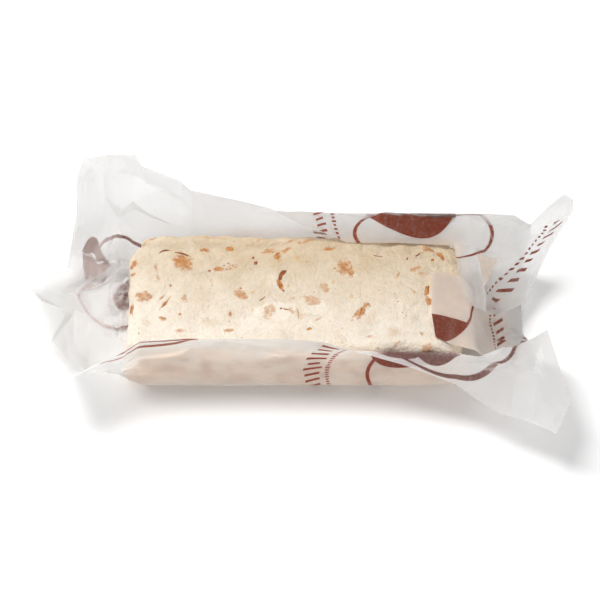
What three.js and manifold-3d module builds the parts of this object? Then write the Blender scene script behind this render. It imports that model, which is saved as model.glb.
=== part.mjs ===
// A soft white nougat bar full of nut pieces, lying in its opened waxed-paper wrapper.
// Millimetres, +X along the bar, +Y behind it, +Z up. The origin is on the flat underside of the
// wrapper, below the middle of the bar.
import * as THREE from "three";
import { mergeVertices } from "three/addons/utils/BufferGeometryUtils.js";
import Module from "manifold-3d";

const wasm = await Module();
wasm.setup();

// ---------- driving dimensions ----------

const BAR_LEFT = -60; // where the bar's two ends lie along X
const BAR_RIGHT = 64;
const BAR_WIDTH = 50;
const BAR_HEIGHT = 30;
const BAR_TOP_RADIUS = 8; // round of the two long top edges
const BAR_FOOT_RADIUS = 6.5; // round of the two long bottom edges
const BAR_END_RADIUS = 6.5; // round of the edges of both ends
const BAR_RELIEF = 0.55; // depth of the hand-moulded unevenness, always inwards

const PAPER = 0.5; // thickness of the wrapper's solid
const REST_GAP = 0.4; // between the wrapper and the bar that lies in it
const SIDE_GAP = 0.75; // between the wrapper's walls and the bar's sides
const CRUMPLE = 0.7; // how far the dents of the open paper go, each way

const NUT_REACH = 0.45; // how far a nut piece stands out of the nougat
const SCATTERED_NUTS = 58;

const NOUGAT_COLOUR = 0xf0e2c4;
const PAPER_COLOUR = 0xe9e6e2;

const PAPER_MID = PAPER / 2; // height of the middle of the paper where it lies flat
const BAR_BASE = PAPER + REST_GAP;
const BAR_TOP = BAR_BASE + BAR_HEIGHT;
const WALL_Y = BAR_WIDTH / 2 + SIDE_GAP + PAPER_MID; // where the wrapper's long walls stand
const FOOT_CUT = 5; // the wrapper's foot cuts its corner by this much under the bar's round edge
const FRONT_TOP = BAR_TOP + 10; // the front wall stands this high
const BACK_TOP = BAR_TOP + 9; // and the back wall is folded over at this height

// ---------- small helpers ----------

const vector = ([x, y, z]) => new THREE.Vector3(x, y, z);
const mix = (a, b, share) => a.clone().lerp(b, share);
const fraction = (value) => value - Math.floor(value);

// A closed solid for manifold-3d from a three.js geometry.
function solidOf(geometry) {
  const bare = geometry.clone();
  bare.deleteAttribute("normal");
  bare.deleteAttribute("uv");
  const merged = mergeVertices(bare, 1e-4);
  return new wasm.Manifold(
    new wasm.Mesh({
      numProp: 3,
      vertProperties: new Float32Array(merged.attributes.position.array),
      triVerts: new Uint32Array(merged.index.array),
    }),
  );
}

// A three.js geometry from a manifold-3d solid.
function geometryOf(solid) {
  const mesh = solid.getMesh();
  const geometry = new THREE.BufferGeometry();
  geometry.setAttribute("position", new THREE.BufferAttribute(new Float32Array(mesh.vertProperties), 3));
  geometry.setIndex(new THREE.BufferAttribute(new Uint32Array(mesh.triVerts), 1));
  geometry.computeVertexNormals();
  return geometry;
}

function indexedGeometry(points, triangles) {
  const geometry = new THREE.BufferGeometry();
  geometry.setAttribute("position", new THREE.Float32BufferAttribute(points.flatMap((p) => p.toArray()), 3));
  geometry.setIndex(triangles);
  return geometry;
}

// ---------- the nougat ----------

// The soft unevenness of a slab that was pressed and cut by hand, from 0 to 1.
function unevenness(x, y, z) {
  const swell = Math.sin(x * 0.11 + 1.3) * Math.cos(y * 0.13 + z * 0.17 + 0.4);
  const lumps = Math.sin(x * 0.31 + y * 0.23 + 2.1) * Math.cos(y * 0.29 - z * 0.33 + x * 0.07);
  return 0.5 + 0.28 * swell + 0.22 * lumps;
}

// A corner of the bar's cross-section as an arc of points, from one compass angle to the next.
function cornerArc(y, z, radius, fromDegrees, steps) {
  return Array.from({ length: steps + 1 }, (_, i) => {
    const angle = THREE.MathUtils.degToRad(fromDegrees + (90 * i) / steps);
    return new THREE.Vector2(y + radius * Math.cos(angle), z + radius * Math.sin(angle));
  });
}

// The rounded cross-section, drawn in by `inset` on every side, as a ring of points.
function barSection(inset) {
  const halfWidth = BAR_WIDTH / 2 - inset;
  const low = BAR_BASE + inset;
  const high = BAR_TOP - inset;
  const top = Math.max(BAR_TOP_RADIUS - inset, 0.8);
  const foot = Math.max(BAR_FOOT_RADIUS - inset, 0.8);
  const corners = [
    ...cornerArc(halfWidth - foot, low + foot, foot, -90, 3),
    ...cornerArc(halfWidth - top, high - top, top, 0, 4),
    ...cornerArc(-halfWidth + top, high - top, top, 90, 4),
    ...cornerArc(-halfWidth + foot, low + foot, foot, 180, 3),
  ];
  // The flat stretches between the corners get points of their own.
  const flats = { 3: 4, 8: 8, 13: 4, 17: 8 };
  return corners.flatMap((point, i) => {
    const next = corners[(i + 1) % corners.length];
    const steps = flats[i] ?? 1;
    return Array.from({ length: steps }, (_, k) => point.clone().lerp(next, k / steps));
  });
}

// Rings along the bar: full size in the middle, and drawn in over the round of each end.
function barRings() {
  const roundSteps = 4;
  const middleSteps = 30;
  const faceInset = 9; // from the round to the innermost ring of an end face
  const round = Array.from({ length: roundSteps + 1 }, (_, i) => {
    const angle = (Math.PI / 2) * (i / roundSteps);
    return { depth: BAR_END_RADIUS * (1 - Math.cos(angle)), inset: BAR_END_RADIUS * (1 - Math.sin(angle)) };
  });
  const end = [{ depth: 0, inset: BAR_END_RADIUS + faceInset }, ...round];
  const from = BAR_LEFT + BAR_END_RADIUS;
  const straight = BAR_RIGHT - BAR_LEFT - 2 * BAR_END_RADIUS;
  return [
    ...end.map(({ depth, inset }) => ({ x: BAR_LEFT + depth, inset })),
    ...Array.from({ length: middleSteps - 1 }, (_, i) => ({
      x: from + (straight * (i + 1)) / middleSteps,
      inset: 0,
    })),
    ...end.toReversed().map(({ depth, inset }) => ({ x: BAR_RIGHT - depth, inset })),
  ];
}

function nougatBody() {
  const middle = new THREE.Vector3((BAR_LEFT + BAR_RIGHT) / 2, 0, BAR_BASE + BAR_HEIGHT / 2);
  const points = [];
  const triangles = [];
  const rings = barRings().map(({ x, inset }) =>
    barSection(inset).map(({ x: y, y: z }) => {
      const point = new THREE.Vector3(x, y, z);
      const inwards = middle.clone().sub(point);
      inwards.x *= 0.25;
      // The underside has been pressed flat, so the relief fades out towards it.
      const fade = THREE.MathUtils.smoothstep(z, BAR_BASE + 1, BAR_BASE + BAR_FOOT_RADIUS + 2);
      points.push(point.addScaledVector(inwards.normalize(), BAR_RELIEF * fade * unevenness(x, y, z)));
      return points.length - 1;
    }),
  );
  rings.slice(1).forEach((ring, i) => {
    const before = rings[i];
    ring.forEach((here, k) => {
      const next = (k + 1) % ring.length;
      triangles.push(before[k], before[next], here, here, before[next], ring[next]);
    });
  });
  [rings[0], rings.at(-1)].forEach((ring, end) => {
    const centre = new THREE.Vector3();
    ring.forEach((i) => centre.add(points[i]));
    points.push(centre.divideScalar(ring.length));
    ring.forEach((here, k) => {
      const next = ring[(k + 1) % ring.length];
      triangles.push(...(end ? [here, next, points.length - 1] : [next, here, points.length - 1]));
    });
  });
  return indexedGeometry(points, triangles);
}

// The nut pieces that lie open in the top face, as [x, y, length, width, turn in degrees].
const OPEN_NUTS = [
  [-29.5, 17.5, 9.0, 7.0, -35],
  [-21.5, 14.0, 7.0, 5.0, 20],
  [-8.5, 19.0, 4.5, 4.0, 0],
  [-10.0, 5.0, 7.5, 2.4, 75],
  [25.0, 16.0, 8.0, 6.5, -10],
  [52.0, 19.0, 8.5, 4.5, -50],
  [44.5, 20.5, 6.0, 4.0, 30],
  [-53.0, 0.5, 7.5, 6.0, 5],
  [-57.0, 12.0, 7.0, 2.6, 80],
  [-19.0, -1.0, 6.5, 5.5, -20],
  [-3.5, -9.0, 7.5, 6.0, 25],
  [9.0, -3.5, 8.5, 7.0, 35],
  [33.5, -4.0, 9.5, 4.5, 62],
  [52.0, 3.5, 7.0, 3.5, 80],
  [-42.0, -3.0, 8.0, 3.0, 55],
  [-37.0, -17.5, 7.5, 4.0, 0],
];

// A rounded, slightly angular piece of nut that lies flat in the surface at `point`.
function nutPiece(point, normal, length, width, turn) {
  const thickness = Math.min(width, 4) * 0.55;
  const piece = new THREE.Mesh(new THREE.DodecahedronGeometry(0.5));
  piece.scale.set(length, width, thickness);
  piece.quaternion
    .setFromUnitVectors(new THREE.Vector3(0, 0, 1), normal)
    .multiply(new THREE.Quaternion().setFromAxisAngle(new THREE.Vector3(0, 0, 1), turn));
  piece.position.copy(point).addScaledVector(normal, NUT_REACH - thickness * 0.4);
  piece.updateMatrixWorld();
  return piece.geometry.clone().applyMatrix4(piece.matrixWorld);
}

// The other pieces come by rule on the two long sides, the two ends and the top, largest first.
// Two irrational steps spread them evenly, and a third gives each its size and turn.
function scatteredNuts() {
  const side = BAR_HEIGHT - BAR_TOP_RADIUS - BAR_FOOT_RADIUS;
  const girth = BAR_WIDTH - 2 * BAR_TOP_RADIUS + 2 * side;
  return Array.from({ length: SCATTERED_NUTS }, (_, i) => {
    const along = fraction(0.5 + i * 0.7548776662);
    const round = fraction(0.5 + i * 0.569840291);
    const chance = fraction(i * 0.4142135624);
    const length = 6.5 - (3.6 * i) / SCATTERED_NUTS;
    const width = length * (0.45 + 0.4 * chance);
    const turn = chance * Math.PI * 2;
    const x = BAR_LEFT + BAR_END_RADIUS + along * (BAR_RIGHT - BAR_LEFT - 2 * BAR_END_RADIUS);
    const at = round * girth;
    if (i % 7 === 3) {
      const end = i % 2 ? 1 : -1;
      const face = end > 0 ? BAR_RIGHT : BAR_LEFT;
      const y = (along - 0.5) * (BAR_WIDTH - 16);
      const z = BAR_BASE + 7 + round * (BAR_HEIGHT - 14);
      return { point: [face - (end * BAR_RELIEF) / 2, y, z], normal: [end, 0, 0], length, width, turn };
    }
    if (at < side) {
      const z = BAR_BASE + BAR_FOOT_RADIUS + at;
      return { point: [x, BAR_RELIEF / 2 - BAR_WIDTH / 2, z], normal: [0, -1, 0], length, width, turn };
    }
    if (at > girth - side) {
      const z = BAR_BASE + BAR_FOOT_RADIUS + girth - at;
      return { point: [x, BAR_WIDTH / 2 - BAR_RELIEF / 2, z], normal: [0, 1, 0], length, width, turn };
    }
    const y = at - side - (BAR_WIDTH / 2 - BAR_TOP_RADIUS);
    return { point: [x, y, BAR_TOP - BAR_RELIEF / 2], normal: [0, 0, 1], length, width, turn };
  });
}

function nougatBar() {
  const open = OPEN_NUTS.map(([x, y, length, width, turn]) => ({
    point: [x, y, BAR_TOP - BAR_RELIEF / 2 - Math.max(0, Math.abs(y) - 17) * 0.35],
    normal: [0, Math.abs(y) > 17 ? Math.sign(y) * 0.35 : 0, 1],
    length,
    width,
    turn: THREE.MathUtils.degToRad(turn),
  }));
  const pieces = [...open, ...scatteredNuts()].map(({ point, normal, length, width, turn }) =>
    solidOf(nutPiece(vector(point), vector(normal).normalize(), length, width, turn)),
  );
  return geometryOf(wasm.Manifold.union([solidOf(nougatBody()), ...pieces]));
}

// ---------- the wrapper ----------

// The wrapper is one sheet. Its rails run along the bar, from the front edge of the paper over
// the floor to its back edge; each maps a rail's name to the room it needs down the flat sheet.
const RAIL_STEPS = {
  frontEdge: 0,
  frontCrest: 2,
  frontWall: 2,
  frontHigh: 2,
  frontLow: 1,
  middle: 3,
  backFloor: 2,
  backLow: 2,
  backHigh: 1,
  backWall: 3,
  backFold: 2,
  backEdge: 2,
};

// Where the rails pass at `x` while the paper lies close round the bar.
function closeStation(x) {
  return {
    frontEdge: [x, -WALL_Y - 0.5, FRONT_TOP],
    frontCrest: [x, -WALL_Y - 0.2, BAR_TOP],
    frontWall: [x, -WALL_Y, BAR_TOP * 0.6],
    frontHigh: [x, -WALL_Y, FOOT_CUT],
    frontLow: [x, FOOT_CUT - WALL_Y - 0.4, PAPER_MID],
    middle: [x, 0, PAPER_MID],
    backFloor: [x, WALL_Y / 2, PAPER_MID],
    backLow: [x, WALL_Y - FOOT_CUT + 0.4, PAPER_MID],
    backHigh: [x, WALL_Y, FOOT_CUT],
    backWall: [x, WALL_Y + 0.5, BAR_TOP * 0.9],
    backFold: [x, WALL_Y + 2.6, BACK_TOP],
    backEdge: [x, WALL_Y - 6, BAR_TOP + 1.1],
  };
}

// The stations along the sheet: where each begins, how many steps lead up to it, and the rails
// that leave the bar there. The back flap stands open on the left and is folded over on the right.
const STATIONS = [
  {
    x: -96,
    steps: 0,
    frontEdge: [-85.5, -42, 32],
    frontCrest: [-87, -33.5, 27.3],
    frontWall: [-89, -22.5, 21.3],
    frontHigh: [-91, -12, 15.6],
    frontLow: [-92.5, -5, 11.5],
    middle: [-95.5, 12.3, 2],
    backFloor: [-100.6, 15.6, 8],
    backLow: [-86.5, 20.8, 5],
    backHigh: [-84.8, 26, 7],
    backWall: [-80.5, 34, 30],
    backFold: [-78.5, 39.5, 46],
    backEdge: [-76, 42.3, 55.6],
  },
  {
    x: -74,
    steps: 3,
    frontEdge: [-72, -35, 34],
    frontCrest: [-73, -31.5, 26],
    frontWall: [-74, -28, 16],
    frontHigh: [-75, -22.5, 8],
    frontLow: [-76, -16, 2.2],
    middle: [-76, 3, 0.4],
    backFloor: [-77, 13, 2.6],
    backLow: [-74, 20.5, 1.2],
    backHigh: [-73, 26, 6],
    backWall: [-70.5, 35, 29],
    backFold: [-69, 42, 43],
    backEdge: [-67, 46.5, 51],
  },
  {
    x: -61,
    steps: 2,
    frontEdge: [-60, -29, 36],
    frontCrest: [-61, -27.4, 28],
    frontWall: [-61, -25.6, 17],
    frontHigh: [-64, -22.8, 8],
    frontLow: [-64, -17.5, 1.2],
    backWall: [-59.5, 36, 25],
    backFold: [-58.5, 43.5, 37],
    backEdge: [-57.7, 49, 47],
  },
  {
    x: -56,
    steps: 2,
    frontEdge: [-54, -26.8, 40],
    backWall: [-53, 34, 25],
    backFold: [-54, 40.5, 36.5],
    backEdge: [-55.3, 45, 45.6],
  },
  {
    x: -41,
    steps: 2,
    backWall: [-41, 30.5, 26],
    backFold: [-41, 36, 36.5],
    backEdge: [-41, 40.5, 42.5],
  },
  {
    x: -37,
    steps: 1,
    backWall: [-37, 28.6, 27],
    backFold: [-37, 31.2, 39],
    backEdge: [-37, 33, 47.5],
  },
  { x: -17, steps: 3, backFold: [-17, 28.7, 38.8], backEdge: [-17, 29.5, 45.2] },
  { x: -8, steps: 1, backFold: [-8, 28.9, 39.8], backEdge: [-7.5, 27, 44.6] },
  { x: 0, steps: 2, backEdge: [3.5, 23.4, 39.6] },
  { x: 12, steps: 2, frontEdge: [12, -27, 40], backEdge: [12, 22.2, 36] },
  { x: 21, steps: 1, frontEdge: [21, -28, 36] },
  { x: 40, steps: 3, frontEdge: [40, -32, 32.5], frontCrest: [40, -26.4, 31.2] },
  { x: 61, steps: 3, frontEdge: [60, -37, 26.4], frontCrest: [60, -26.6, 31] },
  {
    x: 74,
    steps: 2,
    frontEdge: [75, -45, 22.2],
    frontCrest: [76, -30, 29.6],
    frontWall: [77.5, -23.5, 30],
    frontHigh: [77, -21.5, 11],
    frontLow: [75, -17, 0.5],
    backEdge: [69, 19, 30.5],
  },
  {
    x: 84,
    steps: 2,
    frontEdge: [86.5, -49, 22.6],
    frontCrest: [88.6, -34, 27.6],
    frontWall: [88, -17.5, 27],
    frontHigh: [87, -16.5, 13],
    frontLow: [84, -14.5, 0.5],
    backFold: [84, 28.2, 39.4],
    backEdge: [80, 17, 29],
  },
  {
    x: 89,
    steps: 1,
    frontEdge: [95.6, -57, 26],
    frontCrest: [102.2, -42, 22],
    frontWall: [94.6, -14, 26.2],
    frontHigh: [94, -13, 13],
    frontLow: [89.5, -11, 1],
    middle: [89, -1, 0.5],
    backFloor: [89, 9, 0.6],
    backLow: [89, 17, 0.8],
    backHigh: [89, 25, 6],
    backWall: [90, 26.5, 24],
    backFold: [90, 27, 33.4],
    backEdge: [91, 24, 31],
  },
];

// The back corner on the right, folded forward over the end of the bar: from the back edge's rail
// down to its free lower edge, at the last four stations.
const EAR_FRONT = [
  [
    [63, 7.3, 34.6],
    [71.6, 3, 29.2],
    [80, 9, 24.5],
    [88, 14, 21],
  ],
  [
    [66.8, -9.4, 35.8],
    [72, -9.4, 30.5],
    [77.3, -4.2, 19.5],
    [84, 2.5, 13],
  ],
];

// Its outer part with the corner of the sheet, which points up and away.
const EAR_TIP = [
  [
    [96, 31, 39.2],
    [101.7, 33.5, 44.4],
  ],
  [
    [97, 26.5, 30],
    [105.8, 32, 35.4],
  ],
  [
    [92.5, 19, 20],
    [96.5, 24, 20.5],
  ],
  [
    [88.9, 7, 9],
    [91.5, 12.6, 12],
  ],
];

// The end of the sheet's floor, folded back up over the end of the bar and on to its top.
const END_FLAP = [
  [
    [84, -12, 8],
    [75, -19.5, 21.5],
    [67.5, -25, 32.7],
    [54, -22, 32.5],
  ],
  [
    [83.5, -4, 8.5],
    [75, -8.5, 21],
    [66.7, -12, 33],
    [51.8, -10, 32.6],
  ],
  [
    [83.5, 5, 8.5],
    [75, 1.5, 21],
    [66, -2.5, 33],
    [52, 0, 32.6],
  ],
  [
    [83.5, 12, 8],
    [75, 8, 20.5],
    [65.5, 4.5, 32.8],
    [52.6, 7, 32.5],
  ],
];

// One part of the sheet: rows of corner points, and the steps in each gap between them.
function sheetPatch(rows, rowSteps, columnSteps) {
  const along = (line) => [
    line[0],
    ...columnSteps.flatMap((steps, i) =>
      Array.from({ length: steps }, (_, k) => mix(line[i], line[i + 1], (k + 1) / steps)),
    ),
  ];
  const lines = rows.map(along);
  return [
    lines[0],
    ...rowSteps.flatMap((steps, i) =>
      Array.from({ length: steps }, (_, k) =>
        lines[i].map((point, j) => mix(point, lines[i + 1][j], (k + 1) / steps)),
      ),
    ),
  ];
}

// A vertex list in which points at the same place are one.
function sheetMesh(patches) {
  const points = [];
  const triangles = [];
  const known = new Map();
  const indexOf = (point) => {
    const key = point.toArray().map((value) => Math.round(value * 1000)).join();
    if (!known.has(key)) known.set(key, points.push(point.clone()) - 1);
    return known.get(key);
  };
  patches.forEach((lines) => {
    const grid = lines.map((line) => line.map(indexOf));
    grid.slice(1).forEach((line, i) => {
      line.slice(1).forEach((far, j) => {
        const [a, b, c, d] = [grid[i][j], grid[i][j + 1], far, line[j]];
        triangles.push(...((i + j) % 2 ? [a, b, c, a, c, d] : [a, b, d, b, c, d]));
      });
    });
  });
  return { points, triangles };
}

// Small dents all over the paper, less where it lies against the bar or on the table.
function crumpled(sheet) {
  sheet.points.forEach((point, i) => {
    const besideBar = point.x > BAR_LEFT - 3 && point.x < BAR_RIGHT + 3 && Math.abs(point.y) < WALL_Y + 2;
    if (point.z < PAPER_MID + 0.01) return;
    const size = besideBar ? 0 : CRUMPLE;
    const shift = [0.38, 0.71, 0.57].map((rate) => (fraction(i * rate * 1.618) - 0.5) * 2 * size);
    point.add(vector(shift));
    point.z = Math.max(point.z, PAPER_MID);
  });
  return sheet;
}

// Both faces of the paper, with a rim along every free edge.
function paperSolid({ points, triangles }) {
  const sheet = indexedGeometry(points, triangles);
  sheet.computeVertexNormals();
  const normals = points.map((_, i) => new THREE.Vector3().fromBufferAttribute(sheet.attributes.normal, i));
  const count = points.length;
  const faces = [0.5, -0.5].flatMap((side) =>
    points.map((point, i) => point.clone().addScaledVector(normals[i], side * PAPER)),
  );
  const shell = [...triangles];
  const rim = new Map();
  for (let i = 0; i < triangles.length; i += 3) {
    const [a, b, c] = triangles.slice(i, i + 3);
    shell.push(c + count, b + count, a + count);
    [[a, b], [b, c], [c, a]].forEach(([from, to]) => {
      if (!rim.delete(`${to},${from}`)) rim.set(`${from},${to}`, [from, to]);
    });
  }
  for (const [from, to] of rim.values()) {
    shell.push(to, from, from + count, to, from + count, to + count);
  }
  return indexedGeometry(faces, shell);
}

function paperWrapper() {
  const rails = Object.keys(RAIL_STEPS);
  const railSteps = Object.values(RAIL_STEPS).slice(1);
  const stations = STATIONS.map((station) => ({ ...closeStation(station.x), ...station }));
  const stationSteps = STATIONS.map(({ steps }) => steps).slice(1);
  const rows = rails.map((rail) => stations.map((station) => vector(station[rail])));
  const last = stations.at(-1);
  const earFront = EAR_FRONT.map((line) => line.map(vector));
  const earLeft = [vector(last.backFold), vector(last.backEdge), earFront[0][3], earFront[1][3]];
  const floorEnd = [last.frontLow, last.middle, last.backFloor, last.backLow].map(vector);
  return paperSolid(crumpled(sheetMesh([
    sheetPatch(rows, railSteps, stationSteps),
    sheetPatch([rows.at(-1).slice(-4), ...earFront], [2, 3], stationSteps.slice(-3)),
    sheetPatch(EAR_TIP.map((line, i) => [earLeft[i], ...line.map(vector)]), [2, 2, 3], [2, 1]),
    sheetPatch(END_FLAP.map((line, i) => [floorEnd[i], ...line.map(vector)]), [3, 2, 2], [2, 2, 2, 2]),
  ])));
}

// ---------- the part ----------

const part = new THREE.Group();
const bar = new THREE.Mesh(
  nougatBar(),
  new THREE.MeshStandardMaterial({ color: NOUGAT_COLOUR, roughness: 0.75, metalness: 0 }),
);
bar.name = "nougat_bar";
const wrapper = new THREE.Mesh(
  paperWrapper(),
  new THREE.MeshStandardMaterial({ color: PAPER_COLOUR, roughness: 0.6, metalness: 0 }),
);
wrapper.name = "paper_wrapper";
part.add(bar, wrapper);

export default part;
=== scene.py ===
# %% [markdown]
# # A nougat bar in its opened paper wrapper
# A soft white nougat bar, full of nut pieces, lies in the waxed paper that it was wrapped in.
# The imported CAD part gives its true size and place. Here the paper gets its creases, its print
# and its milky wax, and the nougat its grain, its pores and its nuts.

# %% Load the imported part
import math

import bpy
import numpy as np
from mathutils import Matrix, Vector, noise
from mathutils.bvhtree import BVHTree
from mathutils.geometry import delaunay_2d_cdt


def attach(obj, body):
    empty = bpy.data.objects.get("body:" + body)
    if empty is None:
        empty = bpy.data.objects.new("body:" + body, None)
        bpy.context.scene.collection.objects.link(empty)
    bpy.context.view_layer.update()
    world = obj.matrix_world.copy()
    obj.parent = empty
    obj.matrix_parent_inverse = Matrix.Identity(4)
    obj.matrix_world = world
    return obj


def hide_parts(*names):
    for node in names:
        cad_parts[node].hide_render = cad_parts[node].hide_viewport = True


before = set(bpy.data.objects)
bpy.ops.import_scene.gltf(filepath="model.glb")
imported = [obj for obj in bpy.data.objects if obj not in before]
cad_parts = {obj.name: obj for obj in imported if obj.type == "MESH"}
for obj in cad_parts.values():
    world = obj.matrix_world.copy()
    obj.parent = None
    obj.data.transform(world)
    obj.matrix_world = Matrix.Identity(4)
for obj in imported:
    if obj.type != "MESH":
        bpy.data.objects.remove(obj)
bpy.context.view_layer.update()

MM = 0.001  # Blender measures in metres, and the sizes below are in millimetres
scene = bpy.context.scene
bpy.ops.object.select_all(action="DESELECT")


# %% [markdown]
# ## Colours and nodes
# Colours are picked as sRGB hex values, because that is how paint charts and screens give them.
# Shaders work in linear light, so one function turns them. Another adds a node to a material
# with its settings and its links, which keeps every recipe below short. A third turns the width
# of a real grain or speck into the scale of a pattern.

# %% Helpers for materials
def linear(hex_colour):
    """An sRGB hex colour as the linear values that a shader uses."""
    channels = [int(hex_colour[i:i + 2], 16) / 255 for i in (1, 3, 5)]
    turned = [c / 12.92 if c <= 0.04045 else ((c + 0.055) / 1.055) ** 2.4 for c in channels]
    return (*turned, 1.0)


def new_material(name):
    """An empty material and its node tree."""
    material = bpy.data.materials.new(name)
    material.use_nodes = True
    material.node_tree.nodes.clear()
    return material, material.node_tree


def add_node(tree, kind, settings=None, inputs=None):
    """Adds a node with its settings. An input is a value, a socket, or a node's first output."""
    node = tree.nodes.new(kind)
    for key, value in (settings or {}).items():
        setattr(node, key, value)
    for key, value in (inputs or {}).items():
        if isinstance(value, bpy.types.Node):
            value = value.outputs[0]
        if isinstance(value, bpy.types.NodeSocket):
            tree.links.new(value, node.inputs[key])
        else:
            node.inputs[key].default_value = value
    return node


def scale_for(width):
    """The scale that gives a pattern on Object coordinates cells of about this width in mm."""
    return 1 / (width * MM)


print("mid grey #808080 is", round(linear("#808080")[0], 3), "in linear light")


# %% [markdown]
# ## Camera and floor
# The bar is seen from its long side and well from above, with a long lens, so that its far edge
# looks hardly shorter than its near one. The table is a plain white surface without any sheen,
# and a standard view transform keeps its white as white as the paper's.

# %% Camera
CAMERA_TARGET = (0.0036, 0.0049, 0.015)
CAMERA_DISTANCE = 0.9
CAMERA_ELEVATION = math.radians(60)
CAMERA_LENS = 143.6

camera_data = bpy.data.cameras.new("camera")
camera_data.lens = CAMERA_LENS
camera_data.sensor_width = 36
camera = bpy.data.objects.new("camera", camera_data)
camera.location = (
    CAMERA_TARGET[0],
    CAMERA_TARGET[1] - CAMERA_DISTANCE * math.cos(CAMERA_ELEVATION),
    CAMERA_TARGET[2] + CAMERA_DISTANCE * math.sin(CAMERA_ELEVATION),
)
camera.rotation_euler = (math.pi / 2 - CAMERA_ELEVATION, 0, 0)
scene.collection.objects.link(camera)
scene.camera = camera
scene.view_settings.view_transform = "Standard"
print("camera at", [round(c, 3) for c in camera.location])

# %% Floor
FLOOR_WHITE = "#FFFFFF"
FLOOR_SIZE = 6
FLOOR_DROP = 0.2  # mm below the paper, so that no two faces lie in one plane

bpy.ops.mesh.primitive_plane_add(size=FLOOR_SIZE, location=(0, 0, -FLOOR_DROP * MM))
floor = bpy.context.object
floor.name = "studio_floor"
# A sprayed matt board scatters all light evenly, so the lamps leave no bright patch on it.
floor_material, tree = new_material("matt white table")
shader = add_node(tree, "ShaderNodeBsdfPrincipled", inputs={
    "Base Color": linear(FLOOR_WHITE), "Roughness": 0.9, "Specular IOR Level": 0.1})
add_node(tree, "ShaderNodeOutputMaterial", inputs={"Surface": shader})
floor.data.materials.append(floor_material)
print("floor", FLOOR_SIZE, "m wide")

# %% [markdown]
# ## Light
# A food studio lights white paper from above and behind, so that it glows, and then fills the
# near side so that it isn't dull. The largest lamp hangs high on the left, a small one behind
# it, and two low wide ones brighten the front and the right. The wrapper's near wall lies in
# soft shade, and the shadow on the table falls towards us and to the right.

# %% Lights
WORLD_STRENGTH = 0.26
LIT_POINT = (0.0, 0.0, 0.01)
SOFTBOXES = [
    # name, place, width and height in metres, power in watts
    ("top_softbox", (-0.38, 0.15, 0.92), (0.27, 0.55), 9.8),
    ("back_softbox", (-0.55, 0.45, 0.9), (0.3, 0.3), 0.9),
    ("front_softbox", (0.15, -0.95, 0.1), (1.2, 0.18), 3.6),
    ("right_softbox", (0.95, -0.35, 0.14), (0.6, 0.25), 4.8),
]

world = bpy.data.worlds.new("studio")
world.use_nodes = True
background = world.node_tree.nodes["Background"]
background.inputs["Color"].default_value = (1, 1, 1, 1)
background.inputs["Strength"].default_value = WORLD_STRENGTH
scene.world = world

for name, location, size, power in SOFTBOXES:
    bpy.ops.object.light_add(type="AREA", location=location)
    lamp = bpy.context.object
    lamp.name = name
    lamp.data.shape = "RECTANGLE"
    lamp.data.size, lamp.data.size_y = size
    lamp.data.energy = power
    aim = np.array(LIT_POINT) - np.array(location)
    lamp.rotation_euler = (
        math.atan2(math.hypot(aim[0], aim[1]), -aim[2]),
        0,
        math.atan2(aim[1], aim[0]) - math.pi / 2,
    )
print(len(SOFTBOXES), "softboxes")


# %% [markdown]
# ## The sheet of waxed paper
# The wrapper was one flat sheet, folded round the bar and then pulled open. Its shape is told by
# rails, which run along the bar from the paper's front edge over the floor to its back edge, and
# by stations, which cut across them. While the paper lies close round the bar a station follows
# from the bar's size. Where it was pulled open, each rail that moved has its own place.
# A cloth simulation would lose the creases that make paper look like paper, so the net is made
# directly, from the same values as the CAD part.

# %% Sizes of bar and sheet, in millimetres
BAR_LEFT, BAR_RIGHT = -60.0, 64.0
BAR_HALF_WIDTH = 25.0
BAR_BASE, BAR_TOP = 0.35, 30.9
SHEET_FLOOR = 0.06  # height of the sheet's outer face where it lies flat on the table
WALL_Y = 26.0  # the wrapper's long walls stand this far from the bar's middle
FOOT_CUT = 5.0  # the paper cuts its corner by this much under the bar's round edge
FRONT_TOP = 40.9  # the front wall stands this high along the closed stretch
BACK_TOP = 39.9  # and the back wall is folded over at this height

# Each rail with its distance from the sheet's middle line, flat, and the steps that lead to it.
RAILS = {
    "front_edge": (-64, 0),
    "front_crest": (-54, 5),
    "front_wall": (-41.5, 6),
    "front_high": (-28, 6),
    "front_low": (-21.4, 3),
    "middle": (0, 7),
    "back_floor": (13, 4),
    "back_crease": (17, 2),
    "back_low": (21.4, 2),
    "back_high": (28, 3),
    "back_wall": (50.8, 9),
    "back_fold": (63.2, 6),
    "back_edge": (75, 6),
}


def close_station(x):
    """Every rail's place at x, where the paper lies close round the bar."""
    return {
        "front_edge": (x, -WALL_Y - 0.5, FRONT_TOP),
        "front_crest": (x, -WALL_Y - 0.2, BAR_TOP),
        "front_wall": (x, -WALL_Y, BAR_TOP * 0.6),
        "front_high": (x, -WALL_Y, FOOT_CUT),
        "front_low": (x, FOOT_CUT - WALL_Y - 0.4, SHEET_FLOOR),
        "middle": (x, 0, SHEET_FLOOR),
        "back_floor": (x, WALL_Y / 2, SHEET_FLOOR),
        "back_crease": (x, WALL_Y / 2 + 4, SHEET_FLOOR),
        "back_low": (x, WALL_Y - FOOT_CUT + 0.4, SHEET_FLOOR),
        "back_high": (x, WALL_Y, FOOT_CUT),
        "back_wall": (x, WALL_Y + 0.5, BAR_TOP * 0.9),
        "back_fold": (x, WALL_Y + 2.6, BACK_TOP),
        "back_edge": (x, WALL_Y - 6, BAR_TOP + 0.7),
    }


print(len(RAILS), "rails; walls", 2 * WALL_Y, "mm apart")

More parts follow.
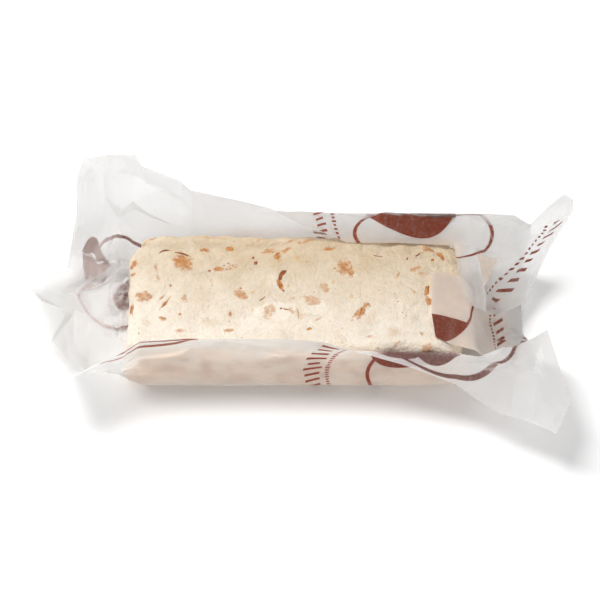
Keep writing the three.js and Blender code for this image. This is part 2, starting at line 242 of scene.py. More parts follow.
# %% Stations: place along the sheet, steps that lead to it, and the rails that leave the bar
STATIONS = [
    (-96, 0, {
        "front_edge": (-85.5, -42, 32), "front_crest": (-87, -33.5, 27.3),
        "front_wall": (-89, -22.5, 21.3), "front_high": (-91, -12, 15.6),
        "front_low": (-92.5, -5, 11.5), "middle": (-95.5, 12.3, 2),
        "back_floor": (-100.4, 15.6, 7), "back_crease": (-99.8, 18.6, 8),
        "back_low": (-86, 24.5, 5.5),
        "back_high": (-84.6, 28, 10), "back_wall": (-80.5, 34, 30),
        "back_fold": (-79.3, 40.2, 47), "back_edge": (-76, 42.3, 55.6)}),
    (-74, 9, {
        "front_edge": (-72, -35, 34), "front_crest": (-73, -31.5, 26),
        "front_wall": (-74, -28, 16), "front_high": (-75, -22.5, 8),
        "front_low": (-76, -16, 2.2), "middle": (-76, 3, 0.4),
        "back_floor": (-77, 12, 2.8), "back_crease": (-76.5, 16, 2.0),
        "back_low": (-74, 20.5, 0.8),
        "back_high": (-73, 26, 6), "back_wall": (-70.5, 35, 29),
        "back_fold": (-69, 42, 43), "back_edge": (-67, 46.5, 51)}),
    (-61, 6, {
        "front_edge": (-60, -29, 36), "front_crest": (-61, -27.4, 28),
        "front_wall": (-61, -25.6, 17), "front_high": (-64, -22.8, 8),
        "front_low": (-64, -17.5, 1.2), "back_wall": (-59.5, 36, 25),
        "back_fold": (-58.5, 43.5, 37), "back_edge": (-57.7, 49, 47)}),
    (-56, 2, {
        "front_edge": (-54, -26.8, 40), "back_wall": (-53, 34, 25),
        "back_fold": (-54, 40.5, 36.5), "back_edge": (-55.3, 45, 45.6)}),
    (-41, 6, {
        "back_wall": (-41, 30.5, 26), "back_fold": (-41, 36, 36.5),
        "back_edge": (-41, 40.5, 42.5)}),
    (-37, 2, {
        "back_wall": (-37, 28.6, 27), "back_fold": (-37, 31.2, 39),
        "back_edge": (-37, 33, 47.5)}),
    (-17, 8, {"back_fold": (-17, 28.7, 38.8), "back_edge": (-17, 29.5, 45.2)}),
    (-8, 4, {"back_fold": (-8, 28.9, 39.8), "back_edge": (-7.5, 27, 44.6)}),
    (0, 4, {"back_edge": (3.5, 23.4, 39.6)}),
    (12, 5, {"front_edge": (12, -27, 40), "back_edge": (12, 22.2, 36)}),
    (21, 4, {"front_edge": (21, -28, 36)}),
    (40, 7, {"front_edge": (40, -32, 32.5), "front_crest": (40, -26.4, 31.2)}),
    (61, 9, {
        "front_edge": (60, -37, 26.4), "front_crest": (60, -26.6, 31),
        "back_edge": (61, 18.6, 31.8)}),
    (74, 6, {
        "front_edge": (75, -46.5, 22), "front_crest": (76, -30, 29.6),
        "front_wall": (77.5, -23.5, 30), "front_high": (77, -21.5, 11),
        "front_low": (75, -17, 0.5), "back_edge": (70, 17.6, 30.6)}),
    (84, 5, {
        "front_edge": (85.5, -50, 22.6), "front_crest": (88.6, -34, 27.6),
        "front_wall": (88, -17.5, 27), "front_high": (87, -16.5, 13),
        "front_low": (84, -14.5, 0.5), "back_fold": (84, 28.2, 39.4),
        "back_edge": (80, 17, 29)}),
    (89, 3, {
        "front_edge": (95.6, -57, 26), "front_crest": (102.2, -42, 22),
        "front_wall": (94.6, -14, 26.2), "front_high": (94, -13, 13),
        "front_low": (89.5, -11, 1), "middle": (89, -1, 0.5),
        "back_floor": (89, 9, 0.6), "back_crease": (89, 13, 0.7),
        "back_low": (89, 17, 0.8),
        "back_high": (89, 25, 6), "back_wall": (90, 26.5, 24),
        "back_fold": (90, 27, 33.4), "back_edge": (91, 24, 31)}),
]
print(len(STATIONS), "stations over", STATIONS[-1][0] - STATIONS[0][0], "mm")

# %% [markdown]
# Three more parts grow from that net at the covered end: the back corner, which is folded
# forward over the bar's end; its outer tip, which points up and away; and the end of the floor,
# which comes back up over the bar's end and on to its top.

# %% The folded back corner, its tip and the end flap
# The corner's rows lie in front of the net's back edge, at these distances on the flat sheet.
EAR_FRONT = {
    89: [(62.3, 5.2, 34.8), (71.6, 2.1, 31), (80, 9, 24.5), (88, 14, 21)],
    102: [(66.8, -9.4, 35.8), (72, -9.4, 30.5), (77.3, -4.2, 19.5), (84, 2.5, 13)],
}
# The tip's rows follow the end of the back fold and of the corner's rows, forwards.
EAR_TIP = [
    [(96, 31, 39.2), (101.7, 33.5, 44.4)],
    [(97.5, 29.8, 35), (105.3, 33.2, 41.2)],
    [(97, 26.5, 30), (105.8, 32, 35.4)],
    [(92.5, 19, 20), (98, 24, 20.5)],
    [(88.9, 7, 9), (91.5, 12.6, 12)],
]
EAR_TIP_U = (97, 106)
# The flap's rows follow the ends of five floor rails, from the front one to the back one.
END_FLAP = [
    [(84, -15, 9), (77.5, -26.5, 19.2), (67.5, -24.8, 29.9), (58.8, -23.6, 32.2), (53, -20.3, 32)],
    [(83.5, -4, 8.5), (75, -8.5, 21), (66.2, -9, 32.4), (59, -10, 32.4), (51.8, -10, 32.2)],
    [(83.5, 5, 8.5), (75, 1.5, 21), (65.8, -2, 32.6), (59, 0, 32.6), (52, 0, 32.4)],
    [(83.5, 8.5, 8.3), (75, 4.8, 20.8), (65.6, 1, 32.4), (59, 3.2, 32.6), (52.3, 3.5, 32.4)],
    [(83.5, 12, 8), (75, 8, 20.5), (65.3, 4.5, 31.8), (59, 6.4, 32.2), (52.8, 7, 32.2)],
]
END_FLAP_U = (99, 115, 130, 138, 145)
print("flap reaches", END_FLAP_U[-1] - STATIONS[-1][0], "mm past the last station, flat")


# %% [markdown]
# A patch of the sheet is a grid primitive. Its points are moved to the net, and each also keeps
# its place on the flat sheet as a UV map named "sheet", in decimetres, so that the print later
# follows the paper through every fold.

# %% A function that makes a patch of the sheet
UV_UNIT = 100  # mm on the flat sheet for one unit of its UV map


def fill_in(corners, steps):
    """Points between the corners of a line, in as many even steps as each gap has."""
    corners = [np.asarray(c, float) for c in corners]
    line = [corners[0]]
    for start, end, count in zip(corners, corners[1:], steps):
        line += [start + (end - start) * (k + 1) / count for k in range(count)]
    return np.array(line)


def add_patch(name, corners, u_rows, v_values, column_steps, row_steps):
    """corners[row][column] is a place in mm; u_rows and v_values place it on the flat sheet."""
    flat = [[(*point, u, v) for point, u in zip(row, u_values)]
            for row, u_values, v in zip(corners, u_rows, v_values)]
    rows = [fill_in(row, column_steps) for row in flat]
    net = fill_in(rows, row_steps)
    n_rows, n_columns = net.shape[:2]
    bpy.ops.mesh.primitive_grid_add(
        x_subdivisions=n_columns - 1, y_subdivisions=n_rows - 1, size=2)
    patch = bpy.context.object
    patch.name = name
    mesh = patch.data
    places = np.empty(len(mesh.vertices) * 3)
    mesh.vertices.foreach_get("co", places)
    places = places.reshape(-1, 3)
    # The grid runs from -1 to 1 both ways, which tells each point's column and row in the net.
    column = np.rint((places[:, 0] + 1) / 2 * (n_columns - 1)).astype(int)
    row = np.rint((places[:, 1] + 1) / 2 * (n_rows - 1)).astype(int)
    values = net[row, column]
    mesh.vertices.foreach_set("co", (values[:, :3] * MM).ravel())
    layer = mesh.uv_layers.active or mesh.uv_layers.new()
    layer.name = "sheet"
    corner_vertex = np.empty(len(mesh.loops), int)
    mesh.loops.foreach_get("vertex_index", corner_vertex)
    layer.data.foreach_set("uv", (values[corner_vertex, 3:] / UV_UNIT).ravel())
    print(name, len(mesh.polygons), "faces")
    return patch


# %% The main sheet
# At the open end the paper was crushed, so more of it lies between two stations.
CRUSHED_U = {-96: -113, -74: -74.5, -61: -50.5, -56: -47}
# The front corner leans outwards, so its rails run on past the last station.
FRONT_END_U = {"front_edge": 99, "front_crest": 101, "front_wall": 93, "front_high": 91}

stations = [{**close_station(x), **moved} for x, _, moved in STATIONS]
station_u = [CRUSHED_U.get(x, x) for x, _, _ in STATIONS]
station_steps = [steps for _, steps, _ in STATIONS][1:]
main_u = [[*station_u[:-1], FRONT_END_U.get(rail, station_u[-1])] for rail in RAILS]
rail_v = [v for v, _ in RAILS.values()]
rail_steps = [steps for _, steps in RAILS.values()][1:]
net_corners = [[station[rail] for station in stations] for rail in RAILS]
patches = [add_patch("sheet_main", net_corners, main_u, rail_v, station_steps, rail_steps)]

# %% The folded corner and its tip
EAR_STATIONS = 4  # the corner grows from the back edge of the last four stations
EAR_STEPS = [6, 6]

ear_rows = [net_corners[-1][-EAR_STATIONS:], *EAR_FRONT.values()]
patches.append(add_patch(
    "sheet_ear", ear_rows, [station_u[-EAR_STATIONS:]] * len(ear_rows),
    [rail_v[-1], *EAR_FRONT], station_steps[1 - EAR_STATIONS:], EAR_STEPS))
fold_end, edge_end = (np.array(net_corners[row][-1]) for row in (-2, -1))
tip_left = [fold_end, (fold_end + edge_end) / 2, *[row[-1] for row in ear_rows]]
tip_v = [rail_v[-2], sum(rail_v[-2:]) / 2, rail_v[-1], *EAR_FRONT]
patches.append(add_patch(
    "sheet_tip", [[left, *rest] for left, rest in zip(tip_left, EAR_TIP)],
    [[station_u[-1], *EAR_TIP_U]] * len(tip_v), tip_v, [4, 3], [3, 3, *EAR_STEPS]))

# %% The end flap
FLAP_RAILS = ("front_low", "middle", "back_floor", "back_crease", "back_low")
FLAP_STEPS = [3, 5, 5, 2, 2]

flap_rows = [list(RAILS).index(rail) for rail in FLAP_RAILS]
patches.append(add_patch(
    "sheet_end_flap",
    [[net_corners[row][-1], *rest] for row, rest in zip(flap_rows, END_FLAP)],
    [[station_u[-1], *END_FLAP_U]] * len(flap_rows), [rail_v[row] for row in flap_rows],
    FLAP_STEPS, [rail_steps[row - 1] for row in flap_rows[1:]]))

# %% Join the patches into one sheet
WELD = 0.05  # mm: points nearer than this to each other become one
CREASE_CUTS = 2  # every edge is cut this often, which leaves room for fine creases

for patch in patches:
    patch.select_set(True)
bpy.context.view_layer.objects.active = patches[0]
bpy.ops.object.join()
paper = bpy.context.object
paper.name = "wrapper_paper"
bpy.ops.object.mode_set(mode="EDIT")
bpy.ops.mesh.select_all(action="SELECT")
bpy.ops.mesh.remove_doubles(threshold=WELD * MM)
bpy.ops.mesh.flip_normals()
bpy.ops.mesh.subdivide(number_cuts=CREASE_CUTS, smoothness=0)
bpy.ops.object.mode_set(mode="OBJECT")
print("sheet", len(paper.data.vertices), "points")


# %% [markdown]
# ## Creases
# Crumpled paper is flat between sharp creases, because paper hardly stretches. Random points
# on the flat sheet get random heights and are joined into triangles: every triangle is a flat
# facet, and its sides are the creases. Wide facets, close ones and fine ones are laid over each
# other. They are strong on the free ends, fine where the paper was crushed, and weak where it
# was drawn tight along the bar. The net's own folds are first relaxed a little, then each point
# is pushed along the paper's normal, and at last kept off the bar and the table.

# %% Helpers that read and change a mesh, in millimetres
def get_places(mesh):
    places = np.empty(len(mesh.vertices) * 3)
    mesh.vertices.foreach_get("co", places)
    return places.reshape(-1, 3) / MM


def set_places(mesh, places):
    mesh.vertices.foreach_set("co", (places * MM).ravel())
    mesh.update()


def get_normals(mesh):
    normals = np.empty(len(mesh.vertices) * 3)
    mesh.vertices.foreach_get("normal", normals)
    return normals.reshape(-1, 3)


def flat_places(mesh):
    """Each point's place on the flat sheet."""
    corner_vertex = np.empty(len(mesh.loops), int)
    mesh.loops.foreach_get("vertex_index", corner_vertex)
    uv = np.empty(len(mesh.loops) * 2)
    mesh.uv_layers["sheet"].data.foreach_get("uv", uv)
    flat = np.zeros((len(mesh.vertices), 2))
    flat[corner_vertex] = uv.reshape(-1, 2) * UV_UNIT
    return flat


def get_edges(mesh):
    """The two points of every edge."""
    edges = np.empty(len(mesh.edges) * 2, int)
    mesh.edges.foreach_get("vertices", edges)
    return edges.reshape(-1, 2)


def border_points(mesh):
    """True for the points on the sheet's free edge, whose edges have a face on one side only."""
    uses = np.zeros(len(mesh.edges), int)
    loop_edges = np.empty(len(mesh.loops), int)
    mesh.loops.foreach_get("edge_index", loop_edges)
    np.add.at(uses, loop_edges, 1)
    on_border = np.zeros(len(mesh.vertices), bool)
    on_border[get_edges(mesh)[uses == 1].ravel()] = True
    return on_border


def relax(mesh, places, rounds, hold):
    """Moves each point half way to the mean of its neighbours; those in hold stay."""
    edges = get_edges(mesh)
    count = np.bincount(edges.ravel(), minlength=len(places))[:, None]
    for _ in range(rounds):
        total = np.zeros_like(places)
        np.add.at(total, edges[:, 0], places[edges[:, 1]])
        np.add.at(total, edges[:, 1], places[edges[:, 0]])
        places = np.where(hold[:, None], places, places * 0.5 + total / count * 0.5)
    return places


def store(mesh, name, values):
    """Keeps a number from 0 to 1 on each point, where the material can read it."""
    attribute = mesh.attributes.new(name, "FLOAT", "POINT")
    attribute.data.foreach_set("value", np.clip(values, 0, 1))


# %% Helpers that say how much of something there is at each point
TINY = 1e-6


def ramp(values, start, end):
    """0 up to start, 1 from end on, and even between them."""
    return np.clip((values - start) / (end - start), 0, 1)


def bump(distance, width):
    """1 at no distance, and a round fall to about a third at this width."""
    return np.exp(-(distance / width) ** 2)


def crease_map(flat, spacing, swing, folds, rng):
    """Height of a sheet that is flat between creases, which join random points and the folds."""
    stray, clear_of_folds = 0.48, 0.7  # as shares of the spacing
    low, high = flat.min(0) - 2 * spacing, flat.max(0) + 2 * spacing
    across, up = np.meshgrid(np.arange(low[0], high[0], spacing),
                             np.arange(low[1], high[1], spacing))
    seeds = np.c_[across.ravel(), up.ravel()]
    seeds += rng.uniform(-stray, stray, seeds.shape) * spacing
    marks = np.array([mark for fold in folds for mark in fold]).reshape(-1, 3)
    if len(marks):
        away = np.linalg.norm(seeds[:, None] - marks[None, :, :2], axis=2).min(1)
        seeds = seeds[away > clear_of_folds * spacing]
    heights = [*rng.uniform(-swing, swing, len(seeds)), *marks[:, 2]]
    creases, first = [], len(seeds)
    for fold in folds:
        creases += [(first + k, first + k + 1) for k in range(len(fold) - 1)]
        first += len(fold)
    places_2d = [Vector(p[:2]) for p in (*seeds, *marks)]
    corners, _, triangles, sources, _, _ = delaunay_2d_cdt(places_2d, creases, [], 0, TINY)
    solid = [(*c, heights[source[0]] if source else 0.0) for c, source in zip(corners, sources)]
    tree = BVHTree.FromPolygons(solid, triangles)
    return np.array([tree.ray_cast((x, y, 99), (0, 0, -1))[0][2] for x, y in flat])


# %% Helpers that measure from the bar
BAR_ROUND = 6.5  # radius of the bar's edges, which the paper follows
BAR_MIDDLE = np.array([(BAR_LEFT + BAR_RIGHT) / 2, 0, (BAR_BASE + BAR_TOP) / 2])
BAR_HALF = np.array([(BAR_RIGHT - BAR_LEFT) / 2, BAR_HALF_WIDTH, (BAR_TOP - BAR_BASE) / 2])


def from_core(points, round_by):
    """Nearest places in the bar's block less its rounds, the ways out from there, and lengths."""
    core = np.clip(points - BAR_MIDDLE, -(BAR_HALF - round_by), BAR_HALF - round_by)
    out = points - BAR_MIDDLE - core
    return BAR_MIDDLE + core, out, np.linalg.norm(out, axis=1, keepdims=True)


def off_the_bar(places, gap):
    """Pushes points out of the bar's rounded block, and keeps them above the table."""
    core, out, length = from_core(places, BAR_ROUND)
    wanted = BAR_ROUND + gap
    pushed = core + out / np.maximum(length, TINY) * wanted
    inside = (length[:, 0] < wanted) & (length[:, 0] > 0.05)
    places = np.where(inside[:, None], pushed, places)
    places[:, 2] = np.maximum(places[:, 2], SHEET_FLOOR)
    return places


print("bar's middle at", BAR_MIDDLE, "mm")

# %% [markdown]
# Some folds aren't random. The corners were pressed over by hand, and the wrapper keeps those
# lines when it is opened again. Each is a short line on the flat sheet with a height at every
# corner, and the triangles around it have to take its line as one of their sides.

# %% Folds that were pressed in by hand: places on the flat sheet and heights, in mm
FOLDS = [
    # the raised back corner at the open end
    [(-57.5, 66, 0.3), (-50.5, 57, -2.2), (-61.5, 53.5, -2.2), (-57.5, 66, 0.3)],
    [(-50, 53, 0.6), (-62.5, 49, 0.6)],
    [(-95.2, 73, -1.4), (-87.3, 55, -1.6), (-80.4, 36, 0)],
    [(-79.4, 73, 1.0), (-73.5, 56, 1.0), (-69.5, 38, 0)],
    [(-43.4, 66, 0.9), (-42.2, 50, 0.5), (-44.6, 36, 0)],
    # the open end's floor and front corner
    [(-84, 16.5, 1.3), (-62.5, 25.6, 1.2)],
    [(-84, 14.4, -0.9), (-62.5, 23.4, -0.9)],
    [(-113, -34.7, 0), (-86, 4, 1.4)],
    [(-97.2, -8, -2.0), (-89.3, -30, 0.8)],
    [(-84.4, 2, 0), (-73.5, -8, -1.4), (-59.5, -14, 0)],
    # the left end of the front wall
    [(-47.6, -64, 0.4), (-50.5, -49.1, 1.3), (-44.6, -45, -0.8), (-37, -47, 0)],
    [(-50.5, -49.1, 1.3), (-45.4, -36, -0.9)],
    [(-53.5, -44, 0.9), (-49, -31, -0.5)],
    # along the foot of the front wall
    [(-44.6, -30, 0.4), (-20, -29.4, 0.45), (15, -30.2, 0.35), (46, -29.5, 0.4)],
    # the pleat in the corner that is folded over the covered end
    [(72.2, 77.5, 3.0), (73.8, 93, 2.2)],
    [(83.3, 76, -2.2), (75.6, 93.3, -0.6)],
    # the front corner at the covered end
    [(90.3, -42.2, -0.8), (87.7, -53.0, -1.6)],
    [(87.7, -53.0, -1.6), (86.8, -59.6, -2.4), (97.0, -58.6, -0.4), (87.7, -53.0, -1.6)],
    [(75.0, -55.2, -1.5), (83.8, -54.0, -1.9)],
    [(75.4, -53.4, 1.2), (84.2, -52.0, 1.2)],
    [(96.6, -59, -3.2), (98.5, -52, 0.5)],
    [(74.7, -47, 0.8), (79, -55, -0.8), (78.5, -63, 0.8)],
]
print(len(FOLDS), "folds")

# %% Relax the sheet
CREASE_SEED = 11
RELAX_ROUNDS = 5
ON_THE_TABLE = 0.1  # points lower than this lie on the table and stay there

rng = np.random.default_rng(CREASE_SEED)
mesh = paper.data
places = get_places(mesh)
flat = flat_places(mesh)
border = border_points(mesh)
places = relax(mesh, places, RELAX_ROUNDS, border | (places[:, 2] < ON_THE_TABLE))
set_places(mesh, places)
print(int(border.sum()), "points on the free edge")

# %% How loose and how crushed the paper is
along_bar, along_sheet, across_sheet = places[:, 0], flat[:, 0], flat[:, 1]
past_the_end = np.maximum(BAR_LEFT - along_bar, along_bar - BAR_RIGHT)
loose = ramp(past_the_end, -4, 6)
free_rim = ramp(np.abs(across_sheet), 44, 58)
loose = np.maximum(loose, 0.5 * free_rim)
# The open end's floor and front side were pressed flat again.
loose *= np.where((along_bar < BAR_LEFT) & (across_sheet < 30), 0.45, 1)
# The paper is crushed just past the bar's left end, and a little where the front wall starts.
crushed = 1.4 * bump(along_bar + 65, 6) * (np.abs(across_sheet - 12) < 18)
crushed += 0.5 * bump(np.hypot((along_sheet + 50) / 7, (across_sheet + 37) / 9), 1)
print("loose", f"{(loose > 0.5).mean():.0%}", "of the sheet; crushed",
      f"{(crushed > 0.5).mean():.0%}")

# %% Crumple the sheet
WIDE, CLOSE, FINE, BY_HAND = (17, 2.4), (7, 0.8), (3.6, 1.4), (11, 0.0)  # spacing, swing, in mm
FINE_EVERYWHERE = 0.05
CALM_RIM = 3  # mm over which the creases fade out towards the free edge
PAPER_GAP = 0.25  # the sheet stays this far off the bar

height = (crease_map(flat, *WIDE, [], rng) + crease_map(flat, *CLOSE, [], rng)) * loose
height += crease_map(flat, *FINE, [], rng) * np.maximum(crushed, FINE_EVERYWHERE)
height += crease_map(flat, *BY_HAND, FOLDS, rng)
from_edge = np.linalg.norm(flat[:, None] - flat[border][None], axis=2).min(1)
height *= np.clip(from_edge / CALM_RIM, 0.2, 1)
places = off_the_bar(places + get_normals(mesh) * height[:, None], PAPER_GAP)
set_places(mesh, places)
print("crumpled by up to", round(float(np.abs(height).max()), 1), "mm")

# %% [markdown]
# The material has to know three things about each place of the paper. "touch" says how near it lies
# to the nougat, which shows through the wax where they touch. On a pleat of the folded corner and
# on the end flap's slope, it also carries painted shade: a tan tint where those parts lie in
# shadow. "soaked" says where oil made the paper clear, so that the print on the other side shows
# strongly. "crease" says how sharply the paper is bent, and the print is made paler there.

# %% Where the paper touches the nougat, and where shade is painted on it
# Painted shade: this triangle of the folded corner's pleat lies in shadow, so it gets the nougat's
# full tint.
SHADED_PLEAT = np.array([(71.8, 78.1), (83.3, 77.3), (74.5, 93.3)])  # on the flat sheet

from_bar = from_core(places, 0)[2][:, 0]
touches = 0.9 * (1 - ramp(from_bar, 0.4, 3.4))
# The end flap gets a tan tint. Where its slope stands clear of the bar's end the tint is painted
# shade, and it is stronger where the flap lies on the bar's top.
on_flap = ramp(along_sheet, 96, 104) * (np.abs(across_sheet) < 23)
touches = np.maximum(touches, on_flap * (0.45 + 0.3 * ramp(along_sheet, 126, 130)))
# The points inside that triangle carry the painted shade.
side_of = [np.cross(SHADED_PLEAT[k - 1] - SHADED_PLEAT[k - 2], flat - SHADED_PLEAT[k - 2])
           for k in range(3)]
in_shaded_pleat = (np.array(side_of) > 0).all(axis=0)
store(mesh, "touch", np.where(in_shaded_pleat, 1.0, touches))
print("touching", f"{(touches > 0.5).mean():.0%}", "of the sheet")

# %% Where oil soaked in, and where the paper is bent
SHARP_BEND = 0.1  # mm that a point lies off the mean of its neighbours in a full crease

soaks = ramp(places[:, 0], 30, 35)
at_open_end = 0.25 + 0.55 * ramp(places[:, 0], -70, -66)
soaks += at_open_end * (places[:, 0] < -40) * (np.abs(across_sheet - 12) < 33)
store(mesh, "soaked", soaks)
smoothed = relax(mesh, places, 1, np.zeros(len(places), bool))
bend = np.linalg.norm(smoothed - places, axis=1) * ~border
store(mesh, "crease", bend / SHARP_BEND)
print("bend", np.percentile(bend, (50, 80, 95)).round(3), "mm")


# %% [markdown]
# ## The print
# The wrapper is printed on its outside in one chestnut brown: thin rings with almonds in them,
# and short strokes and dots in arcs around some of the rings. It is drawn with math on the flat
# sheet's own measure, so it bends and breaks at each fold as real print does. A distance from a
# ring's middle that equals its radius makes a line, and a sine curve makes an almond's outline.

# %% Where the print's shapes lie on the flat sheet, in mm and degrees
RING_HALF_LINE = 0.7
RINGS = [
    # middle, half width, and height as a share of the width
    (-61, 20.5, 21.2, 1.0), (51, 71.5, 27, 0.39), (54, -37, 25.5, 1.0), (152, 8, 25.5, 1.0),
    (-50, -84, 25.5, 1.0), (-45, -88, 25.5, 1.0),
]
ALMONDS = [
    # middle, turn, length, width, and the share of the length that its groove takes
    (-82, 29.5, -8, 32, 18, 0.5), (-54.5, 16, 60, 17, 11, 0.5), (-73.5, 21, 15, 19, 2.6, 0.0),
    (44.8, 63, 174, 34, 21, 0.5), (43, -50, 10, 28, 18, 0.5), (54.5, -55, 5, 16, 9, 0.0),
    (146, -12, 163, 32, 25, 0.0),
]
STROKE_ARCS = [
    # middle, turn, and how high the strokes are
    (56, 60, 0, 2.8), (54, -37, 8, 3.6), (153, -8, 0, 4.2),
]
print(len(RINGS), "rings,", len(ALMONDS), "almonds,", len(STROKE_ARCS), "arcs of strokes")

# %% An almond
ALMOND_BLUNTNESS = 0.7  # below 1 the widest place moves towards the almond's round end
GROOVE_RATE = 0.42  # the pale groove waves by so many radians a mm
GROOVE_SWING = 0.9
GROOVE_HALF_LINE = 0.42
GROOVE_SHIFT = 2.0  # the groove's middle lies this far towards the point


def almond_mask(tree, flat, centre, turn, length, width, groove):
    """1 inside an almond that is blunt at one end and pointed at the other, else 0."""
    local = add_node(tree, "ShaderNodeMapping", {"vector_type": "TEXTURE"}, {
        "Vector": flat, "Location": (*centre, 0), "Rotation": (0, 0, math.radians(turn))})
    local = add_node(tree, "ShaderNodeSeparateXYZ", inputs={0: local})
    along = add_node(tree, "ShaderNodeMath", {"operation": "MULTIPLY_ADD", "use_clamp": True},
                     {0: local.outputs[0], 1: 1 / length, 2: 0.5})
    along = add_node(tree, "ShaderNodeMath", {"operation": "POWER"},
                     {0: along, 1: ALMOND_BLUNTNESS})
    along = add_node(tree, "ShaderNodeMath", {"operation": "MULTIPLY"}, {0: along, 1: math.pi})
    half = add_node(tree, "ShaderNodeMath", {"operation": "SINE"}, {0: along})
    half = add_node(tree, "ShaderNodeMath", {"operation": "MULTIPLY"}, {0: half, 1: width / 2})
    across = add_node(tree, "ShaderNodeMath", {"operation": "ABSOLUTE"}, {0: local.outputs[1]})
    body = add_node(tree, "ShaderNodeMath", {"operation": "LESS_THAN"}, {0: across, 1: half})
    wave = add_node(tree, "ShaderNodeMath", {"operation": "MULTIPLY"},
                    {0: local.outputs[0], 1: GROOVE_RATE})
    wave = add_node(tree, "ShaderNodeMath", {"operation": "SINE"}, {0: wave})
    wave = add_node(tree, "ShaderNodeMath", {"operation": "MULTIPLY_ADD"},
                    {0: wave, 1: GROOVE_SWING, 2: local.outputs[1]})
    line = add_node(tree, "ShaderNodeMath", {"operation": "COMPARE"},
                    {0: wave, 1: 0.0, 2: GROOVE_HALF_LINE})
    short = add_node(tree, "ShaderNodeMath", {"operation": "COMPARE"},
                     {0: local.outputs[0], 1: GROOVE_SHIFT, 2: length * groove / 2})
    line = add_node(tree, "ShaderNodeMath", {"operation": "MULTIPLY"}, {0: line, 1: short})
    return add_node(tree, "ShaderNodeMath", {"operation": "SUBTRACT", "use_clamp": True},
                    {0: body, 1: line})


# %% A ring's measure, and the strokes around it
ARC_RIGHT, ARC_LEFT, ARC_HALF = 0.63, 3.0, 0.35  # in radians around the ring's middle


def from_middle(tree, flat, centre, turn, squash=1.0):
    """Distance and direction from a ring's middle."""
    place = add_node(tree, "ShaderNodeMapping", {"vector_type": "TEXTURE"}, {
        "Vector": flat, "Location": (*centre, 0), "Rotation": (0, 0, math.radians(turn)),
        "Scale": (1, squash, 1)})
    radius = add_node(tree, "ShaderNodeVectorMath", {"operation": "LENGTH"}, {0: place})
    parts = add_node(tree, "ShaderNodeSeparateXYZ", inputs={0: place})
    angle = add_node(tree, "ShaderNodeMath", {"operation": "ARCTAN2"},
                     {0: parts.outputs[1], 1: parts.outputs[0]})
    return radius.outputs["Value"], angle


def stroke_mask(tree, radius, angle, at_radius, half_height, pitch, lean, share):
    """Short leaning strokes of random height, on both sides of a ring along an arc around it."""
    arc = add_node(tree, "ShaderNodeMath", {"operation": "MULTIPLY"}, {0: angle, 1: at_radius})
    arc = add_node(tree, "ShaderNodeMath", {"operation": "MULTIPLY_ADD"},
                   {0: radius, 1: lean, 2: arc})
    cell = add_node(tree, "ShaderNodeMath", {"operation": "DIVIDE"}, {0: arc, 1: pitch})
    inside = add_node(tree, "ShaderNodeMath", {"operation": "FRACT"}, {0: cell})
    whole = add_node(tree, "ShaderNodeMath", {"operation": "FLOOR"}, {0: cell})
    chance = add_node(tree, "ShaderNodeTexWhiteNoise", {"noise_dimensions": "1D"}, {"W": whole})
    wide = add_node(tree, "ShaderNodeMath", {"operation": "LESS_THAN"}, {0: inside, 1: share})
    reach = add_node(tree, "ShaderNodeMath", {"operation": "MULTIPLY_ADD"},
                     {0: chance.outputs["Value"], 1: half_height / 2, 2: half_height / 2})
    high = add_node(tree, "ShaderNodeMath", {"operation": "COMPARE"},
                    {0: radius, 1: at_radius, 2: reach})
    both = add_node(tree, "ShaderNodeMath", {"operation": "MULTIPLY"}, {0: wide, 1: high})
    right = add_node(tree, "ShaderNodeMath", {"operation": "COMPARE"},
                     {0: angle, 1: ARC_RIGHT, 2: ARC_HALF})
    left = add_node(tree, "ShaderNodeMath", {"operation": "ABSOLUTE"}, {0: angle})
    left = add_node(tree, "ShaderNodeMath", {"operation": "COMPARE"},
                    {0: left, 1: ARC_LEFT, 2: ARC_HALF})
    side = add_node(tree, "ShaderNodeMath", {"operation": "MAXIMUM"}, {0: right, 1: left})
    return add_node(tree, "ShaderNodeMath", {"operation": "MULTIPLY"}, {0: both, 1: side})


# %% The whole print
def print_mask(tree):
    """1 where the sheet carries ink. All lengths are in mm on the flat sheet."""
    uv = add_node(tree, "ShaderNodeUVMap", {"uv_map": "sheet"})
    flat = add_node(tree, "ShaderNodeMapping", {"vector_type": "POINT"}, {
        "Vector": uv, "Scale": (UV_UNIT, UV_UNIT, 1)})
    marks = []
    for u, v, ring_radius, squash in RINGS:
        radius, _ = from_middle(tree, flat, (u, v), 0, squash)
        marks.append(add_node(tree, "ShaderNodeMath", {"operation": "COMPARE"},
                              {0: radius, 1: ring_radius, 2: RING_HALF_LINE}))
    for u, v, *sizes in ALMONDS:
        marks.append(almond_mask(tree, flat, (u, v), *sizes))
    for u, v, turn, height in STROKE_ARCS:
        radius, angle = from_middle(tree, flat, (u, v), turn)
        marks.append(stroke_mask(tree, radius, angle, at_radius=46.0, half_height=height,
                                 pitch=1.2 * height, lean=0.4, share=0.36))
        marks.append(stroke_mask(tree, radius, angle, at_radius=40.5, half_height=0.9,
                                 pitch=1.7, lean=0.0, share=0.5))
    ink = marks[0]
    for mark in marks[1:]:
        ink = add_node(tree, "ShaderNodeMath", {"operation": "MAXIMUM"}, {0: ink, 1: mark})
    return ink


# %% [markdown]
# ## Waxed paper
# The wrapper is thin bleached paper drawn through molten wax. Wax fills the paper's pores, so it
# is milky, a little see-through, and has a soft sheen. Some light is scattered back, some goes
# through and scatters on the far side, and some passes straight through. Where oil from the
# nougat soaked in, the paper hides less. Seen from the inside, the print is pale and greyish,
# because a layer of fibres lies over it. So the sheet has two materials from one recipe: one for
# the printed side, and one for the side that touches the food.

# %% How well the ink covers the paper
WORN_INK = 0.25  # the cover varies by up to this much, in fine specks
MEAN_WEAR = 0.1  # about what the specks take away on average


